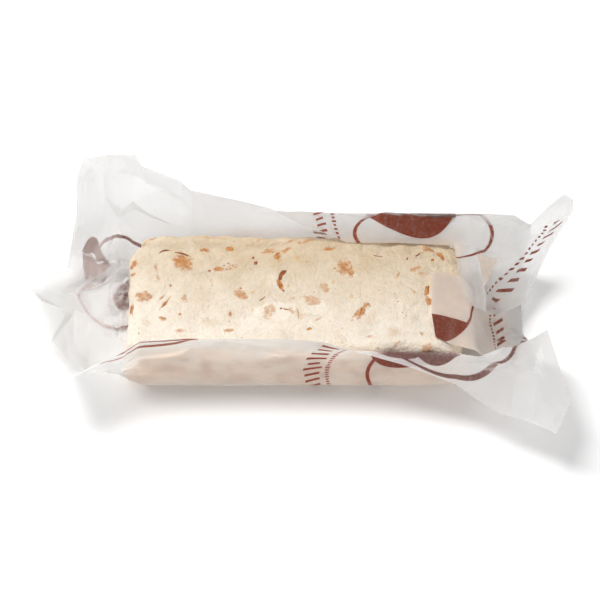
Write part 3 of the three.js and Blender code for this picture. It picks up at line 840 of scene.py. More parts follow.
def ink_covering(tree, ink, soaked, worn, dry_cover, soaked_cover):
    """More where the paper is soaked, and less in worn specks and along sharp creases."""
    cover = add_node(tree, "ShaderNodeMapRange", inputs={
        "Value": soaked, "To Min": dry_cover + MEAN_WEAR, "To Max": soaked_cover + MEAN_WEAR})
    cover = add_node(tree, "ShaderNodeMath", {"operation": "MULTIPLY_ADD"},
                     {0: worn, 1: -WORN_INK, 2: cover})
    cover = add_node(tree, "ShaderNodeMath", {"operation": "MULTIPLY", "use_clamp": True},
                     {0: cover, 1: ink})
    crease = add_node(tree, "ShaderNodeAttribute", {"attribute_name": "crease"})
    crease_loss = add_node(tree, "ShaderNodeMath", {"operation": "MULTIPLY"},
                       {0: crease.outputs["Fac"], 1: worn})
    return add_node(tree, "ShaderNodeMath", {"operation": "SUBTRACT", "use_clamp": True},
                    {0: cover, 1: crease_loss})


# %% Where the nougat shows through the paper, and the painted shade in that tint
OIL_PATCHES = (scale_for(16.67), scale_for(11.11), scale_for(9.091))  # along x, y and z


def oily_patches(tree, space):
    """How well the nougat wets the paper, with the painted shade that touch carries on the pleat
    and the end flap. Its skin is lumpy, so it does that in patches.
    """
    touch = add_node(tree, "ShaderNodeAttribute", {"attribute_name": "touch"})
    patchy = add_node(tree, "ShaderNodeMapping", inputs={"Vector": space, "Scale": OIL_PATCHES})
    patchy = add_node(tree, "ShaderNodeTexNoise", inputs={
        "Vector": patchy, "Scale": 1.0, "Detail": 3.0, "Roughness": 0.55})
    patchy = add_node(tree, "ShaderNodeMapRange", inputs={
        "Value": patchy.outputs["Fac"], "From Min": 0.32, "From Max": 0.68,
        "To Min": 0.45, "To Max": 1.1})
    return add_node(tree, "ShaderNodeMath", {"operation": "MULTIPLY", "use_clamp": True},
                    {0: touch.outputs["Fac"], 1: patchy})


# %% The paper's colour and its light
PAPER_WHITE = "#E9E8E7"
NOUGAT_THROUGH_PAPER = "#F6EBE1"
SPECKS = scale_for(1.111)  # coarser than real paper fibres, which are too fine to show
SCATTERED_THROUGH = 0.66  # the share of the scattered light that comes out on the far side
PASSES_STRAIGHT = 0.5  # the share of all light that passes bare dry paper without a turn
INK_STOPS, OIL_STOPS = 0.42, 0.35  # what ink and contact with the nougat take from that


def waxed_paper(name, ink_colour, soaked_ink_colour, ink_cover, soaked_ink_cover, hiding):
    """Paper in wax: a soft sheen, and much light goes through. Dry ink hides some of it."""
    material, tree = new_material(name)
    ink = print_mask(tree)
    space = add_node(tree, "ShaderNodeTexCoord").outputs["Object"]
    worn = add_node(tree, "ShaderNodeTexNoise", inputs={
        "Vector": space, "Scale": SPECKS, "Detail": 3.0}).outputs["Fac"]
    soaked = add_node(
        tree, "ShaderNodeAttribute", {"attribute_name": "soaked"}).outputs["Fac"]
    oily = oily_patches(tree, space)
    cover = ink_covering(tree, ink, soaked, worn, ink_cover, soaked_ink_cover)
    ink_tint = add_node(tree, "ShaderNodeMix", {"data_type": "RGBA"}, {
        "Factor": soaked, 6: linear(ink_colour), 7: linear(soaked_ink_colour)})
    # The nougat's tint through the paper. On the pleat and the end flap's slope it is painted
    # shade.
    paper_tint = add_node(tree, "ShaderNodeMix", {"data_type": "RGBA"}, {
        "Factor": oily, 6: linear(PAPER_WHITE), 7: linear(NOUGAT_THROUGH_PAPER)})
    colour = add_node(tree, "ShaderNodeMix", {"data_type": "RGBA"}, {
        "Factor": cover, 6: paper_tint.outputs[2], 7: ink_tint.outputs[2]}).outputs[2]

    # Wax has an IOR of about 1.44; the fibres under it keep its sheen soft and a little grainy.
    grain = add_node(tree, "ShaderNodeBump", inputs={
        "Strength": 0.25, "Distance": 0.05 * MM, "Height": worn})
    surface = add_node(tree, "ShaderNodeBsdfPrincipled", inputs={
        "Base Color": colour, "Roughness": 0.5, "IOR": 1.45, "Normal": grain})
    through = add_node(tree, "ShaderNodeBsdfTranslucent", inputs={"Color": colour})
    dry = add_node(tree, "ShaderNodeMath", {"operation": "SUBTRACT"}, {0: 1.0, 1: soaked})
    dry = add_node(tree, "ShaderNodeMath", {"operation": "MULTIPLY"}, {0: dry, 1: ink})
    share = add_node(tree, "ShaderNodeMath", {"operation": "MULTIPLY_ADD"},
                     {0: dry, 1: -hiding, 2: SCATTERED_THROUGH})
    milky = add_node(tree, "ShaderNodeMixShader", inputs={0: share, 1: surface, 2: through})
    clear = add_node(tree, "ShaderNodeBsdfTransparent")
    veil = add_node(tree, "ShaderNodeMath", {"operation": "MULTIPLY_ADD"},
                    {0: ink, 1: -INK_STOPS, 2: PASSES_STRAIGHT})
    veil = add_node(tree, "ShaderNodeMath", {"operation": "MULTIPLY_ADD", "use_clamp": True},
                    {0: oily, 1: -OIL_STOPS, 2: veil})
    mixed = add_node(tree, "ShaderNodeMixShader", inputs={0: veil, 1: milky, 2: clear})
    add_node(tree, "ShaderNodeOutputMaterial", inputs={"Surface": mixed})
    return material


# %% Both sides of the paper
INK_BROWN = "#A65136"
INK_THROUGH_PAPER = "#D6C3BA"
INK_SOAKED = "#7A4A3C"

paper.data.materials.clear()
paper.data.materials.append(waxed_paper(
    "waxed paper, printed side", INK_BROWN, INK_BROWN,
    ink_cover=1.0, soaked_ink_cover=1.0, hiding=0.0))
paper.data.materials.append(waxed_paper(
    "waxed paper, food side", INK_THROUGH_PAPER, INK_SOAKED,
    ink_cover=0.25, soaked_ink_cover=0.85, hiding=0.38))
print("the paper's materials:", [m.name for m in paper.data.materials])

# %% [markdown]
# Real sheet goods have two faces and an edge. The Solidify modifier adds the inner face towards
# the food and gives it the second material. Smooth shading stops at bends over a small angle, so
# that the creases stay crisp.

# %% Give the sheet its thickness
PAPER_THICKNESS = 0.12  # real waxed paper is half as thick, which the render can't tell
CRISP_FROM = 14  # degrees

paper.select_set(True)
bpy.context.view_layer.objects.active = paper
solidify = paper.modifiers.new("thickness", "SOLIDIFY")
solidify.thickness = PAPER_THICKNESS * MM
solidify.offset = -1
solidify.material_offset = 1
solidify.material_offset_rim = 0
bpy.ops.object.modifier_apply(modifier="thickness")
bpy.ops.object.shade_smooth_by_angle(angle=math.radians(CRISP_FROM))
print("paper", len(paper.data.polygons), "faces")


# %% [markdown]
# ## The nougat
# Nougat is whipped egg white and honey, cooked and pressed into a slab between wafers or paper,
# then cut. It is soft enough to slump: its edges are round and lumpy. A rounded block is
# remeshed into even small faces, and these are moved by noise: wide swells first, then small
# dents. Where a nut lies just under the skin the surface stands up a little.

# %% The block
NOUGAT_EDGE = 5.5
FACE_SIZE = 0.62

bpy.ops.object.select_all(action="DESELECT")
bpy.ops.mesh.primitive_cube_add(size=1, location=(0, 0, 0))
nougat = bpy.context.object
nougat.name = "nougat_slab"
bpy.ops.object.mode_set(mode="EDIT")
bpy.ops.transform.resize(value=tuple(2 * BAR_HALF * MM))
bpy.ops.transform.translate(value=tuple(BAR_MIDDLE * MM))
bpy.ops.mesh.bevel(offset=NOUGAT_EDGE * MM, segments=6, affect="EDGES")
bpy.ops.object.mode_set(mode="OBJECT")
remesh = nougat.modifiers.new("even faces", "REMESH")
remesh.mode = "VOXEL"
remesh.voxel_size = FACE_SIZE * MM
bpy.ops.object.modifier_apply(modifier="even faces")
print("nougat", len(nougat.data.polygons), "faces")

# %% [markdown]
# The nuts are whole and broken almonds and hazelnuts. Most lie just under a thin film of nougat
# and only tint it, so they are stored on the mesh in two attributes. The colour "nuts" holds
# the outline, the strength, how roasted the nut is, and where the nougat was smeared white. The
# vector "nut_grain" holds the place inside the nut, along and across, so that its fibres follow
# each nut's own length. Every nut is a body with a few smaller lobes, because nuts break ragged.

# %% Nuts under the top skin
TOP_NUTS = [
    # x, y, half length, half width, turn, strength, roasted
    (-39.9, 11.9, 3.9, 3.2, 130, 1.0, 0.75), (-32, 17.6, 1.5, 1.2, 10, 0.9, 0.8),
    (-26.8, 9.1, 1.9, 1.2, 15, 0.9, 0.6), (-22.0, 9.8, 2.6, 1.3, 20, 0.3, 0.2),
    (-57.6, 11.7, 1.7, 1.0, 70, 0.9, 0.6), (-58.4, 7.6, 1.0, 0.8, 0, 0.9, 0.7),
    (-54, -2.7, 2.5, 2.3, 20, 0.75, 0.35), (-50, 9.5, 1.9, 0.5, 100, 0.5, 0.4),
    (-49, 5.2, 1.2, 0.7, 120, 0.45, 0.2), (-58.3, -7.1, 2.6, 0.6, 88, 0.8, 0.8),
    (-47.4, -3.4, 2.6, 0.5, 54, 0.6, 0.5), (-46.3, -6.0, 2.6, 0.55, 54, 0.8, 0.6),
    (-44.6, -3.6, 1.6, 0.4, 54, 0.6, 0.4), (-46.4, -12.1, 2.0, 0.7, 160, 0.75, 0.5),
    (-39.1, -3.3, 1.1, 1.7, 0, 0.7, 0.3), (-40.3, -17.2, 2.2, 0.9, 5, 0.6, 0.3),
    (-18.8, -1.7, 2.6, 1.8, 150, 0.75, 0.35), (-22.1, -10.4, 0.8, 1.5, 0, 0.6, 0.4),
    (-22.6, -17.2, 2.0, 0.7, 5, 0.65, 0.4), (-7.9, -9.8, 3.0, 2.1, 60, 0.6, 0.1),
    (-7.5, 17.4, 2.6, 1.3, 10, 0.7, 0.4), (-2.0, 17.2, 2.8, 0.9, 25, 0.7, 0.6),
    (-4.8, 14.6, 1.7, 1.1, 60, 0.8, 0.9), (12.6, 1.2, 2.1, 1.6, 150, 0.6, 0.25),
    (8.1, -4.4, 3.3, 2.2, 150, 0.6, 0.2), (3.6, -10.2, 3.0, 1.9, 100, 0.2, 0.0),
    (19.9, 9.5, 3.8, 3.0, 100, 0.85, 0.6), (14.4, 18.4, 2.2, 0.8, 5, 0.85, 0.8),
    (26.5, -8.6, 4.2, 1.5, 56, 0.85, 0.75), (30.2, -11.0, 3.0, 1.6, 60, 0.2, 0.0),
    (46.5, 8.8, 1.9, 1.0, 20, 0.6, 0.4), (48.7, 7.0, 1.5, 0.6, 0, 0.4, 0.3),
    (51.0, 18.0, 2.6, 1.1, 160, 0.85, 0.6), (56, 14.8, 2.4, 0.9, 120, 0.9, 0.75),
    (40.2, 6.7, 1.4, 0.35, 60, 0.5, 0.5), (48.2, -18.6, 0.6, 1.0, 0, 0.8, 0.6),
    (49.6, -23.4, 2.0, 1.3, 10, 0.6, 0.3), (37.8, -18, 2.4, 1.9, 0, 0.22, 0.0),
    (39, -22.2, 1.5, 0.5, 30, 0.4, 0.2), (50.8, -4.8, 2.0, 1.3, 100, 0.8, 0.7),
    (10.4, -12.2, 1.6, 0.4, 30, 0.4, 0.4), (10.7, -22.6, 2.0, 0.7, 0, 0.55, 0.4),
    (0.7, -3.4, 1.2, 0.9, 0, 0.4, 0.2), (0.4, -8.7, 0.9, 1.2, 0, 0.4, 0.3),
    (-52.4, -14, 1.9, 1.5, 0, 0.2, 0.0), (-30, -13.5, 2.2, 1.4, 150, 0.2, 0.0),
    (29, -19.5, 1.0, 0.7, 0, 0.5, 0.4), (6, 12.3, 2.6, 0.4, 0, 0.35, 0.3),
    # thin streaks of caramel along the back rim
    (-53, 21.4, 3.8, 0.45, 24, 0.5, 0.35), (-44, 22.8, 4.2, 0.4, 3, 0.45, 0.3),
    (-30, 21.8, 5.0, 0.35, -2, 0.35, 0.2), (-11, 21.6, 4.4, 0.45, 22, 0.5, 0.3),
    (-1, 20.8, 3.6, 0.4, 20, 0.5, 0.4), (6.4, 21.4, 3.6, 0.6, 15, 0.6, 0.4),
    (22, 21.6, 5.0, 0.4, -3, 0.35, 0.2), (39, 20.8, 5.0, 0.5, -4, 0.4, 0.2),
]
print(len(TOP_NUTS), "nuts and streaks under the top")


# %% Helpers for the nougat's relief
def noise_at(points, size, offset):
    """Smooth noise from -1 to 1. Its lumps have the given size in mm, or one for each axis."""
    scaled = points / size
    return np.array([noise.noise((p[0] + offset, p[1], p[2])) for p in scaled])


def nut_field(offset, half_sizes):
    """0.5 near a nut's outline, up to 1 inside it and down to 0 outside it."""
    return np.clip(0.5 + 0.8 * (1 - np.linalg.norm(offset / half_sizes, axis=1)), 0, 1)


def turned_offset(points, x, y, turn):
    """Distances along and across a thing that lies at x, y and is turned by some degrees."""
    angle = math.radians(turn)
    dx, dy = points[:, 0] - x, points[:, 1] - y
    return np.c_[dx * math.cos(angle) + dy * math.sin(angle),
                 dy * math.cos(angle) - dx * math.sin(angle)]


def round_corner(points, x, y, radius):
    """Pulls the slab's upright corner at x, y in to an arc of the given radius, seen from above."""
    inward = -np.sign((x, y))
    centre = np.array((x, y)) + inward * radius
    out = (points[:, :2] - centre) * -inward
    in_corner = (out > 0).all(axis=1)
    reach = np.linalg.norm(out, axis=1)
    scale = np.where(in_corner, out.max(axis=1) / np.maximum(reach, TINY), 1.0)
    rounded = points.copy()
    rounded[:, :2] = centre + (points[:, :2] - centre) * scale[:, None]
    return rounded


# %% Round the back corners and start the nut maps
NUT_SEED = 23
BACK_CORNER_ROUND = 11

rng = np.random.default_rng(NUT_SEED)
mesh = nougat.data
places = get_places(mesh)
for end in (BAR_LEFT, BAR_RIGHT):
    places = round_corner(places, end, BAR_HALF_WIDTH, BACK_CORNER_ROUND)
set_places(mesh, places)
normals = get_normals(mesh)
on_top = ramp(places[:, 2], 22, 25)
field = np.zeros(len(places))
strength = np.zeros(len(places))
roasted = np.zeros(len(places))
grain_place = np.zeros((len(places), 3))


def press_in_nut(inside, tint, toast, grain, number):
    """Gives a nut the points where it covers more than the nuts before it."""
    nearer = inside > field
    strength[nearer], roasted[nearer] = tint, toast
    field[nearer] = inside[nearer]
    grain_place[nearer, :2] = grain[nearer]
    grain_place[nearer, 2] = number * 5.3  # far enough apart that no two nuts have one grain


print(f"{(on_top > 0).mean():.0%} of the points are on the top")

# %% Press in the nuts of the top
LOBES = 5
BODY_SHARE = 0.9  # a nut's body is a little smaller than the nut with its lobes

for number, (x, y, half_length, half_width, turn, tint, toast) in enumerate(TOP_NUTS):
    half_sizes = np.array((half_length, half_width))
    grain = turned_offset(places, x, y, turn)
    inside = nut_field(grain, BODY_SHARE * half_sizes)
    for _ in range(LOBES):
        shift = rng.uniform(-0.75, 0.75, 2) * half_sizes
        lobe = rng.uniform(0.3, 0.6, 2) * half_sizes
        inside = np.maximum(inside, nut_field(grain - shift, lobe))
    press_in_nut(inside * on_top, tint, toast, grain, number)
print(f"{(field > 0.5).mean():.1%} of the skin has a nut under it")

# %% Scatter nuts over the sides
SIDE_NUTS = 150
SIDE_LOW = (BAR_LEFT, 1 - BAR_HALF_WIDTH, 3)
SIDE_HIGH = (BAR_RIGHT, BAR_HALF_WIDTH - 1, 26)

off_top = 1 - ramp(places[:, 2], 26, 28)
grain = np.c_[places[:, 0] + places[:, 1], places[:, 2]]
for number in range(SIDE_NUTS):
    x, y, z = rng.uniform(SIDE_LOW, SIDE_HIGH)
    # The long sides are twice as likely as the ends, because they are longer.
    long_sides = [(x, -BAR_HALF_WIDTH, z), (x, BAR_HALF_WIDTH, z)]
    centre = [*long_sides, *long_sides, (BAR_LEFT, y, z), (BAR_RIGHT, y, z)][rng.integers(0, 6)]
    inside = nut_field(places - centre, rng.uniform(1.2, 3.6, 3)) * off_top
    press_in_nut(inside, rng.uniform(0.5, 1.0), rng.uniform(0.2, 0.8), grain, number + 100)
print(f"{(field > 0.5).mean():.1%} of the skin has a nut under it, with the sides")

# %% [markdown]
# The slab's skin shows how it was handled: a rim along the back that curls up, a shallow trough
# in front of it, a flap of nougat that was smeared over the middle, and a torn corner. Each is
# a simple height over the top, with soft noise in its outline so that nothing runs straight.
# Lower down the wrapper holds the nougat tight, so there it is drawn in to a rounder block.

# %% Swells, dents and the back rim, in mm
FRONT_FULLNESS = 1.8  # the top's front edge is fuller than the block's round

wander = noise_at(places, np.array((9.0, 4.0, 9.0)), 3.1)
torn = np.clip(1.4 - np.hypot((places[:, 0] - 55) / 9, (places[:, 1] - 17) / 6), 0, 1) * on_top
swell = 0.8 * noise_at(places, 17, 1.3) + 0.6 * noise_at(places, 6.5, 4.2)
swell *= 0.5 + 0.8 * ramp(np.abs(places[:, 1]), 16, 22) * on_top
dents = noise_at(places, np.array((4.2, 2.2, 3.0)), 7.7) * (0.34 + 0.8 * torn)
dents += noise_at(places, 1.4, 2.2) * (0.09 + 0.25 * torn)
depth = places[:, 1] + 1.2 * wander
back_rim, trough = 0.75 * bump(depth - 22.3, 1.5), 0.8 * bump(depth - 18.2, 2.3)
dents += (back_rim - trough) * on_top
dents += FRONT_FULLNESS * np.clip(-normals[:, 1], 0, 1) * np.clip(normals[:, 2], 0, 1)
print("dents from", dents.min().round(2), "to", dents.max().round(2), "mm")

# %% Smeared flaps
SMEARS = [  # x, y, half length, half width, turn, height
    (-4.5, -9.0, 8.2, 4.6, 8, 1.3),
    (8.5, -7.0, 6.0, 4.4, 150, 0.7),
    (-12.0, -14.5, 9.0, 3.6, -6, 0.6),
    (-4.8, 3.6, 3.4, 5.2, -10, 0.55),
    (-37, 13, 9.0, 6.0, 160, 0.5),
]
HIGHEST_SMEAR = max(row[-1] for row in SMEARS)

smeared = np.zeros(len(places))
for x, y, half_length, half_width, turn, height in SMEARS:
    offset = turned_offset(places, x, y, turn)
    inside = nut_field(offset, (half_length, half_width)) + 0.45 * wander
    inside = ramp(inside, 0.4, 0.74) * on_top
    # A smear starts with a thick lip and thins out along its length.
    inside *= np.clip(0.75 - 0.6 * offset[:, 0] / half_length, 0, 1)
    dents += height * inside
    smeared = np.maximum(smeared, inside * height / HIGHEST_SMEAR)
print(len(SMEARS), "smears")

# %% Shape the skin
WRAPPED_ROUND = 8.0
PAPER_ROOM = 0.3
NUT_RISE = 0.3


def inside_the_paper(points):
    """Draws points in to a block with rounder edges, where the wrapper lies tight against it."""
    core, out, length = from_core(points, WRAPPED_ROUND)
    return core + out * np.minimum(1, (WRAPPED_ROUND - PAPER_ROOM) / np.maximum(length, TINY))


rise = NUT_RISE * ramp(field, 0.45, 0.95) * strength
places = places + normals * (swell + dents + rise)[:, None]
wrapped = 1 - ramp(places[:, 2], 21, 26)[:, None]
places += wrapped * (inside_the_paper(places) - places)
places[:, 2] = np.maximum(places[:, 2], BAR_BASE)
set_places(mesh, places)
bpy.ops.object.shade_smooth()
print("nougat height", round(float(places[:, 2].max()), 1), "mm")

# %% Store the nuts on the mesh
# The skin is made paler towards the open end.
smeared = np.maximum(smeared, 0.5 * (1 - ramp(places[:, 0], -50, -35)))
nuts = mesh.attributes.new("nuts", "FLOAT_COLOR", "POINT")
nuts.data.foreach_set("color", np.c_[field, strength, roasted, smeared].ravel())
nut_grain = mesh.attributes.new("nut_grain", "FLOAT_VECTOR", "POINT")
nut_grain.data.foreach_set("vector", grain_place.ravel())
print("stored", [a.name for a in (nuts, nut_grain)])

# %% [markdown]
# Nougat is full of tiny air bubbles: light goes in, scatters and comes back a few millimetres
# away. That is subsurface scattering, and it is what makes the slab look soft and milky instead
# of like plaster. The nuts' spots tint the base colour, and fine specks of skin and crumbs of
# nut are drawn with a Voronoi pattern in the same solid space, so they also run over the edges.

# %% The nougat's own colour, with painted shade towards the back
NOUGAT_CREAM = "#ECE1D1"
# The honey colour is both the nougat's own deeper tone and its painted shade at the back.
NOUGAT_HONEY_AND_SHADE = "#CDB89A"
CLOUDS = scale_for(7.7)  # where more or less honey was stirred in
GRAINS = scale_for(1.176)  # sugar grains and small pores
BACK_SHADE_REACH = 20 * MM  # painted shade: the honey tint grows from this far in front of the middle to behind it, where the back wall shades the top

nougat_material, tree = new_material("almond nougat, pressed and cut")
space = add_node(tree, "ShaderNodeTexCoord").outputs["Object"]
spots = add_node(tree, "ShaderNodeAttribute", {"attribute_name": "nuts"})
smeared = spots.outputs["Alpha"]
spots = add_node(tree, "ShaderNodeSeparateColor", inputs={0: spots.outputs["Color"]})
cloudy = add_node(tree, "ShaderNodeTexNoise", inputs={
    "Vector": space, "Scale": CLOUDS, "Detail": 5.0, "Roughness": 0.62})
grainy = add_node(tree, "ShaderNodeTexNoise", inputs={
    "Vector": space, "Scale": GRAINS, "Detail": 4.0, "Roughness": 0.65})
honey = add_node(tree, "ShaderNodeMapRange", inputs={
    "Value": cloudy.outputs["Fac"], "From Min": 0.38, "From Max": 0.7,
    "To Min": 0.0, "To Max": 0.35})
across = add_node(tree, "ShaderNodeSeparateXYZ", inputs={0: space})
# Painted shade: the back of the slab, which the wrapper's back wall shades, turns towards the honey
# colour.
painted_back_shade = add_node(tree, "ShaderNodeMapRange", {"interpolation_type": "SMOOTHSTEP"}, {
    "Value": across.outputs["Y"], "From Min": -BACK_SHADE_REACH, "From Max": BACK_SHADE_REACH,
    "To Min": 0.0, "To Max": 0.8})
# The honey clouds and the painted back shade add up, and smeared places lose some of both.
honey = add_node(tree, "ShaderNodeMath", {"operation": "ADD", "use_clamp": True},
                 {0: honey, 1: painted_back_shade})
honey = add_node(tree, "ShaderNodeMath", {"operation": "MULTIPLY_ADD", "use_clamp": True},
                 {0: smeared, 1: -0.55, 2: honey})
cream = add_node(tree, "ShaderNodeMix", {"data_type": "RGBA"}, {
    "Factor": honey, 6: linear(NOUGAT_CREAM), 7: linear(NOUGAT_HONEY_AND_SHADE)})
print("nougat between", NOUGAT_CREAM, "and", NOUGAT_HONEY_AND_SHADE)

# %% Nuts that show through the nougat's skin
NUT_PALE = "#C59361"
NUT_TAN = "#AE6827"
NUT_DARK = "#7A4318"
RAGGED = scale_for(1.667)
FIBRES = (0.45, 1.5, 1)  # the fibres are about 2.2 mm long and 0.7 mm wide

ragged = add_node(tree, "ShaderNodeTexNoise", inputs={
    "Vector": space, "Scale": RAGGED, "Detail": 5.0, "Roughness": 0.72})
fibres = add_node(tree, "ShaderNodeAttribute", {"attribute_name": "nut_grain"})
fibres = add_node(tree, "ShaderNodeMapping", inputs={
    "Vector": fibres.outputs["Vector"], "Scale": FIBRES})
fibres = add_node(tree, "ShaderNodeTexNoise", inputs={
    "Vector": fibres, "Scale": 1.0, "Detail": 4.0, "Roughness": 0.7})
# Noise in the outline makes it ragged, and the film of nougat over the nut thins inwards.
edge = add_node(tree, "ShaderNodeMath", {"operation": "MULTIPLY_ADD"},
                {0: ragged.outputs["Fac"], 1: 2.2, 2: -1.1})
edge = add_node(tree, "ShaderNodeMath", {"operation": "ADD"}, {0: edge, 1: spots.outputs[0]})
edge = add_node(tree, "ShaderNodeMath", {"operation": "MULTIPLY_ADD"},
                {0: fibres.outputs["Fac"], 1: 0.5, 2: edge})
film = add_node(tree, "ShaderNodeMapRange", {"interpolation_type": "SMOOTHSTEP"}, {
    "Value": edge, "From Min": 0.5, "From Max": 1.15})
amount = add_node(tree, "ShaderNodeMath", {"operation": "MULTIPLY", "use_clamp": True},
                  {0: film, 1: spots.outputs[1]})
with_pale = add_node(tree, "ShaderNodeMix", {"data_type": "RGBA"}, {
    "Factor": amount, 6: cream.outputs[2], 7: linear(NUT_PALE)})
streaks = add_node(tree, "ShaderNodeMath", {"operation": "ADD"},
                   {0: fibres.outputs["Fac"], 1: ragged.outputs["Fac"]})
streaks = add_node(tree, "ShaderNodeMapRange", {"interpolation_type": "SMOOTHSTEP"}, {
    "Value": streaks, "From Min": 0.85, "From Max": 1.15})
toast = add_node(tree, "ShaderNodeMath", {"operation": "MULTIPLY"},
                 {0: streaks, 1: spots.outputs[2]})
toast = add_node(tree, "ShaderNodeMath", {"operation": "MULTIPLY", "use_clamp": True},
                 {0: toast, 1: film})
with_tan = add_node(tree, "ShaderNodeMix", {"data_type": "RGBA"}, {
    "Factor": toast, 6: with_pale.outputs[2], 7: linear(NUT_TAN)})
deep = add_node(tree, "ShaderNodeMapRange", {"interpolation_type": "SMOOTHSTEP"}, {
    "Value": grainy.outputs["Fac"], "From Min": 0.56, "From Max": 0.68, "To Max": 0.8})
deep = add_node(tree, "ShaderNodeMath", {"operation": "MULTIPLY"}, {0: deep, 1: toast})
with_roast = add_node(tree, "ShaderNodeMix", {"data_type": "RGBA"}, {
    "Factor": deep, 6: with_tan.outputs[2], 7: linear(NUT_DARK)})
print("nuts from", NUT_PALE, "over", NUT_TAN, "to", NUT_DARK)

# %% Crumbs and specks of skin
SPECKLES = [
    # cells in mm, the lowest random value that makes a speck, its reach, colour and cover
    (3.333, 0.87, 0.34, "#CFA062", 0.5),  # crumbs of nut
    (1.5625, 0.95, 0.26, "#8A5A30", 0.55),  # scraps of brown skin
    (0.909, 0.9, 0.34, "#B98F5E", 0.25),  # fine ground almond
]
WARP, WARP_REACH = scale_for(0.6667), 1.2 * MM  # pulls the specks out of their round shape


def add_specks(tree, space, colour, width, rarest, reach, tint, cover):
    """Small round specks, in the few Voronoi cells whose random value is over rarest."""
    cells = add_node(tree, "ShaderNodeTexVoronoi", {"feature": "F1"}, {
        "Vector": space, "Scale": scale_for(width), "Randomness": 1.0})
    chance = add_node(tree, "ShaderNodeSeparateColor", inputs={0: cells.outputs["Color"]})
    size = add_node(tree, "ShaderNodeMapRange", inputs={
        "Value": chance, "From Min": rarest, "From Max": 1.0, "To Min": 0.0, "To Max": reach})
    speck = add_node(tree, "ShaderNodeMath", {"operation": "LESS_THAN"},
                     {0: cells.outputs["Distance"], 1: size})
    speck = add_node(tree, "ShaderNodeMath", {"operation": "MULTIPLY"}, {0: speck, 1: cover})
    return add_node(tree, "ShaderNodeMix", {"data_type": "RGBA"}, {
        "Factor": speck, 6: colour, 7: linear(tint)}).outputs[2]


bent = add_node(tree, "ShaderNodeTexNoise", inputs={
    "Vector": space, "Scale": WARP, "Detail": 2.0})
bent = add_node(tree, "ShaderNodeVectorMath", {"operation": "MULTIPLY_ADD"}, {
    0: bent.outputs["Color"], 1: (WARP_REACH,) * 3, 2: space})
colour = with_roast.outputs[2]
for row in SPECKLES:
    colour = add_specks(tree, bent, colour, *row)
print(len(SPECKLES), "kinds of specks")

# %% The nougat's sheen, pores and depth
# Honey's sugar gives the skin a soft moist sheen. Red light travels furthest inside it.
PORE_DEPTH = 0.65 * MM
LIGHT_REACH = 2.5 * MM

relief = add_node(tree, "ShaderNodeMath", {"operation": "MULTIPLY_ADD"},
                  {0: cloudy.outputs["Fac"], 1: 3.0, 2: grainy.outputs["Fac"]})
grain = add_node(tree, "ShaderNodeBump", inputs={
    "Strength": 1.0, "Distance": PORE_DEPTH, "Height": relief})
shader = add_node(tree, "ShaderNodeBsdfPrincipled", inputs={
    "Base Color": colour, "Roughness": 0.5, "IOR": 1.45,
    "Subsurface Weight": 0.35, "Subsurface Radius": (1.0, 0.8, 0.6),
    "Subsurface Scale": LIGHT_REACH, "Normal": grain})
add_node(tree, "ShaderNodeOutputMaterial", inputs={"Surface": shader})
nougat.data.materials.clear()
nougat.data.materials.append(nougat_material)
print(nougat_material.name, "has", len(tree.nodes), "nodes")


# %% [markdown]
# ## Bits that break the surface
# Some pieces of almond come through the skin with a crisp outline, and thin curved scraps of the
# brown almond skin lie on edge in the nougat. Each bit is made from a sphere of its own, with its
# own lumps, and is turned and stretched in its own way.

# %% Places of the nut bits and skins
ROASTED_BITS = [
    # x, y, half length, half width, turn, bend
    (-22.6, 18.0, 2.0, 1.0, 0, 0.1), (-40.5, -10.3, 0.7, 0.55, 30, 0),
    (-3.9, 2.0, 2.5, 1.15, 115, -0.2), (-46.6, -12.0, 1.0, 0.4, 160, 0.2),
    (-22.1, -10.2, 0.6, 0.35, 100, 0), (6.9, -16.5, 1.0, 0.75, 20, 0),
    (52.9, 12.6, 0.9, 0.6, 60, 0), (-44.3, 1.9, 0.55, 0.5, 0, 0),
    (-46.6, -6.6, 1.5, 0.35, 54, 0.1), (-58.8, -7.3, 2.3, 0.45, 88, 0),
    (25.6, -9.4, 1.9, 0.6, 56, 0.1), (50.4, -0.4, 2.4, 0.9, 80, 0.15),
    (50.9, -5.0, 1.3, 0.7, 100, 0), (-5.0, 14.4, 1.1, 0.8, 60, 0.2),
    (-1.5, -8.5, 1.7, 0.28, -5, 0.2), (14.6, 18.3, 1.4, 0.4, 5, 0.1),
    (56.2, 14.9, 1.7, 0.45, 120, 0.1), (-32.2, 17.4, 0.7, 0.5, 0, 0),
    (2.9, -9.8, 3.4, 0.14, -78, -0.2),
]
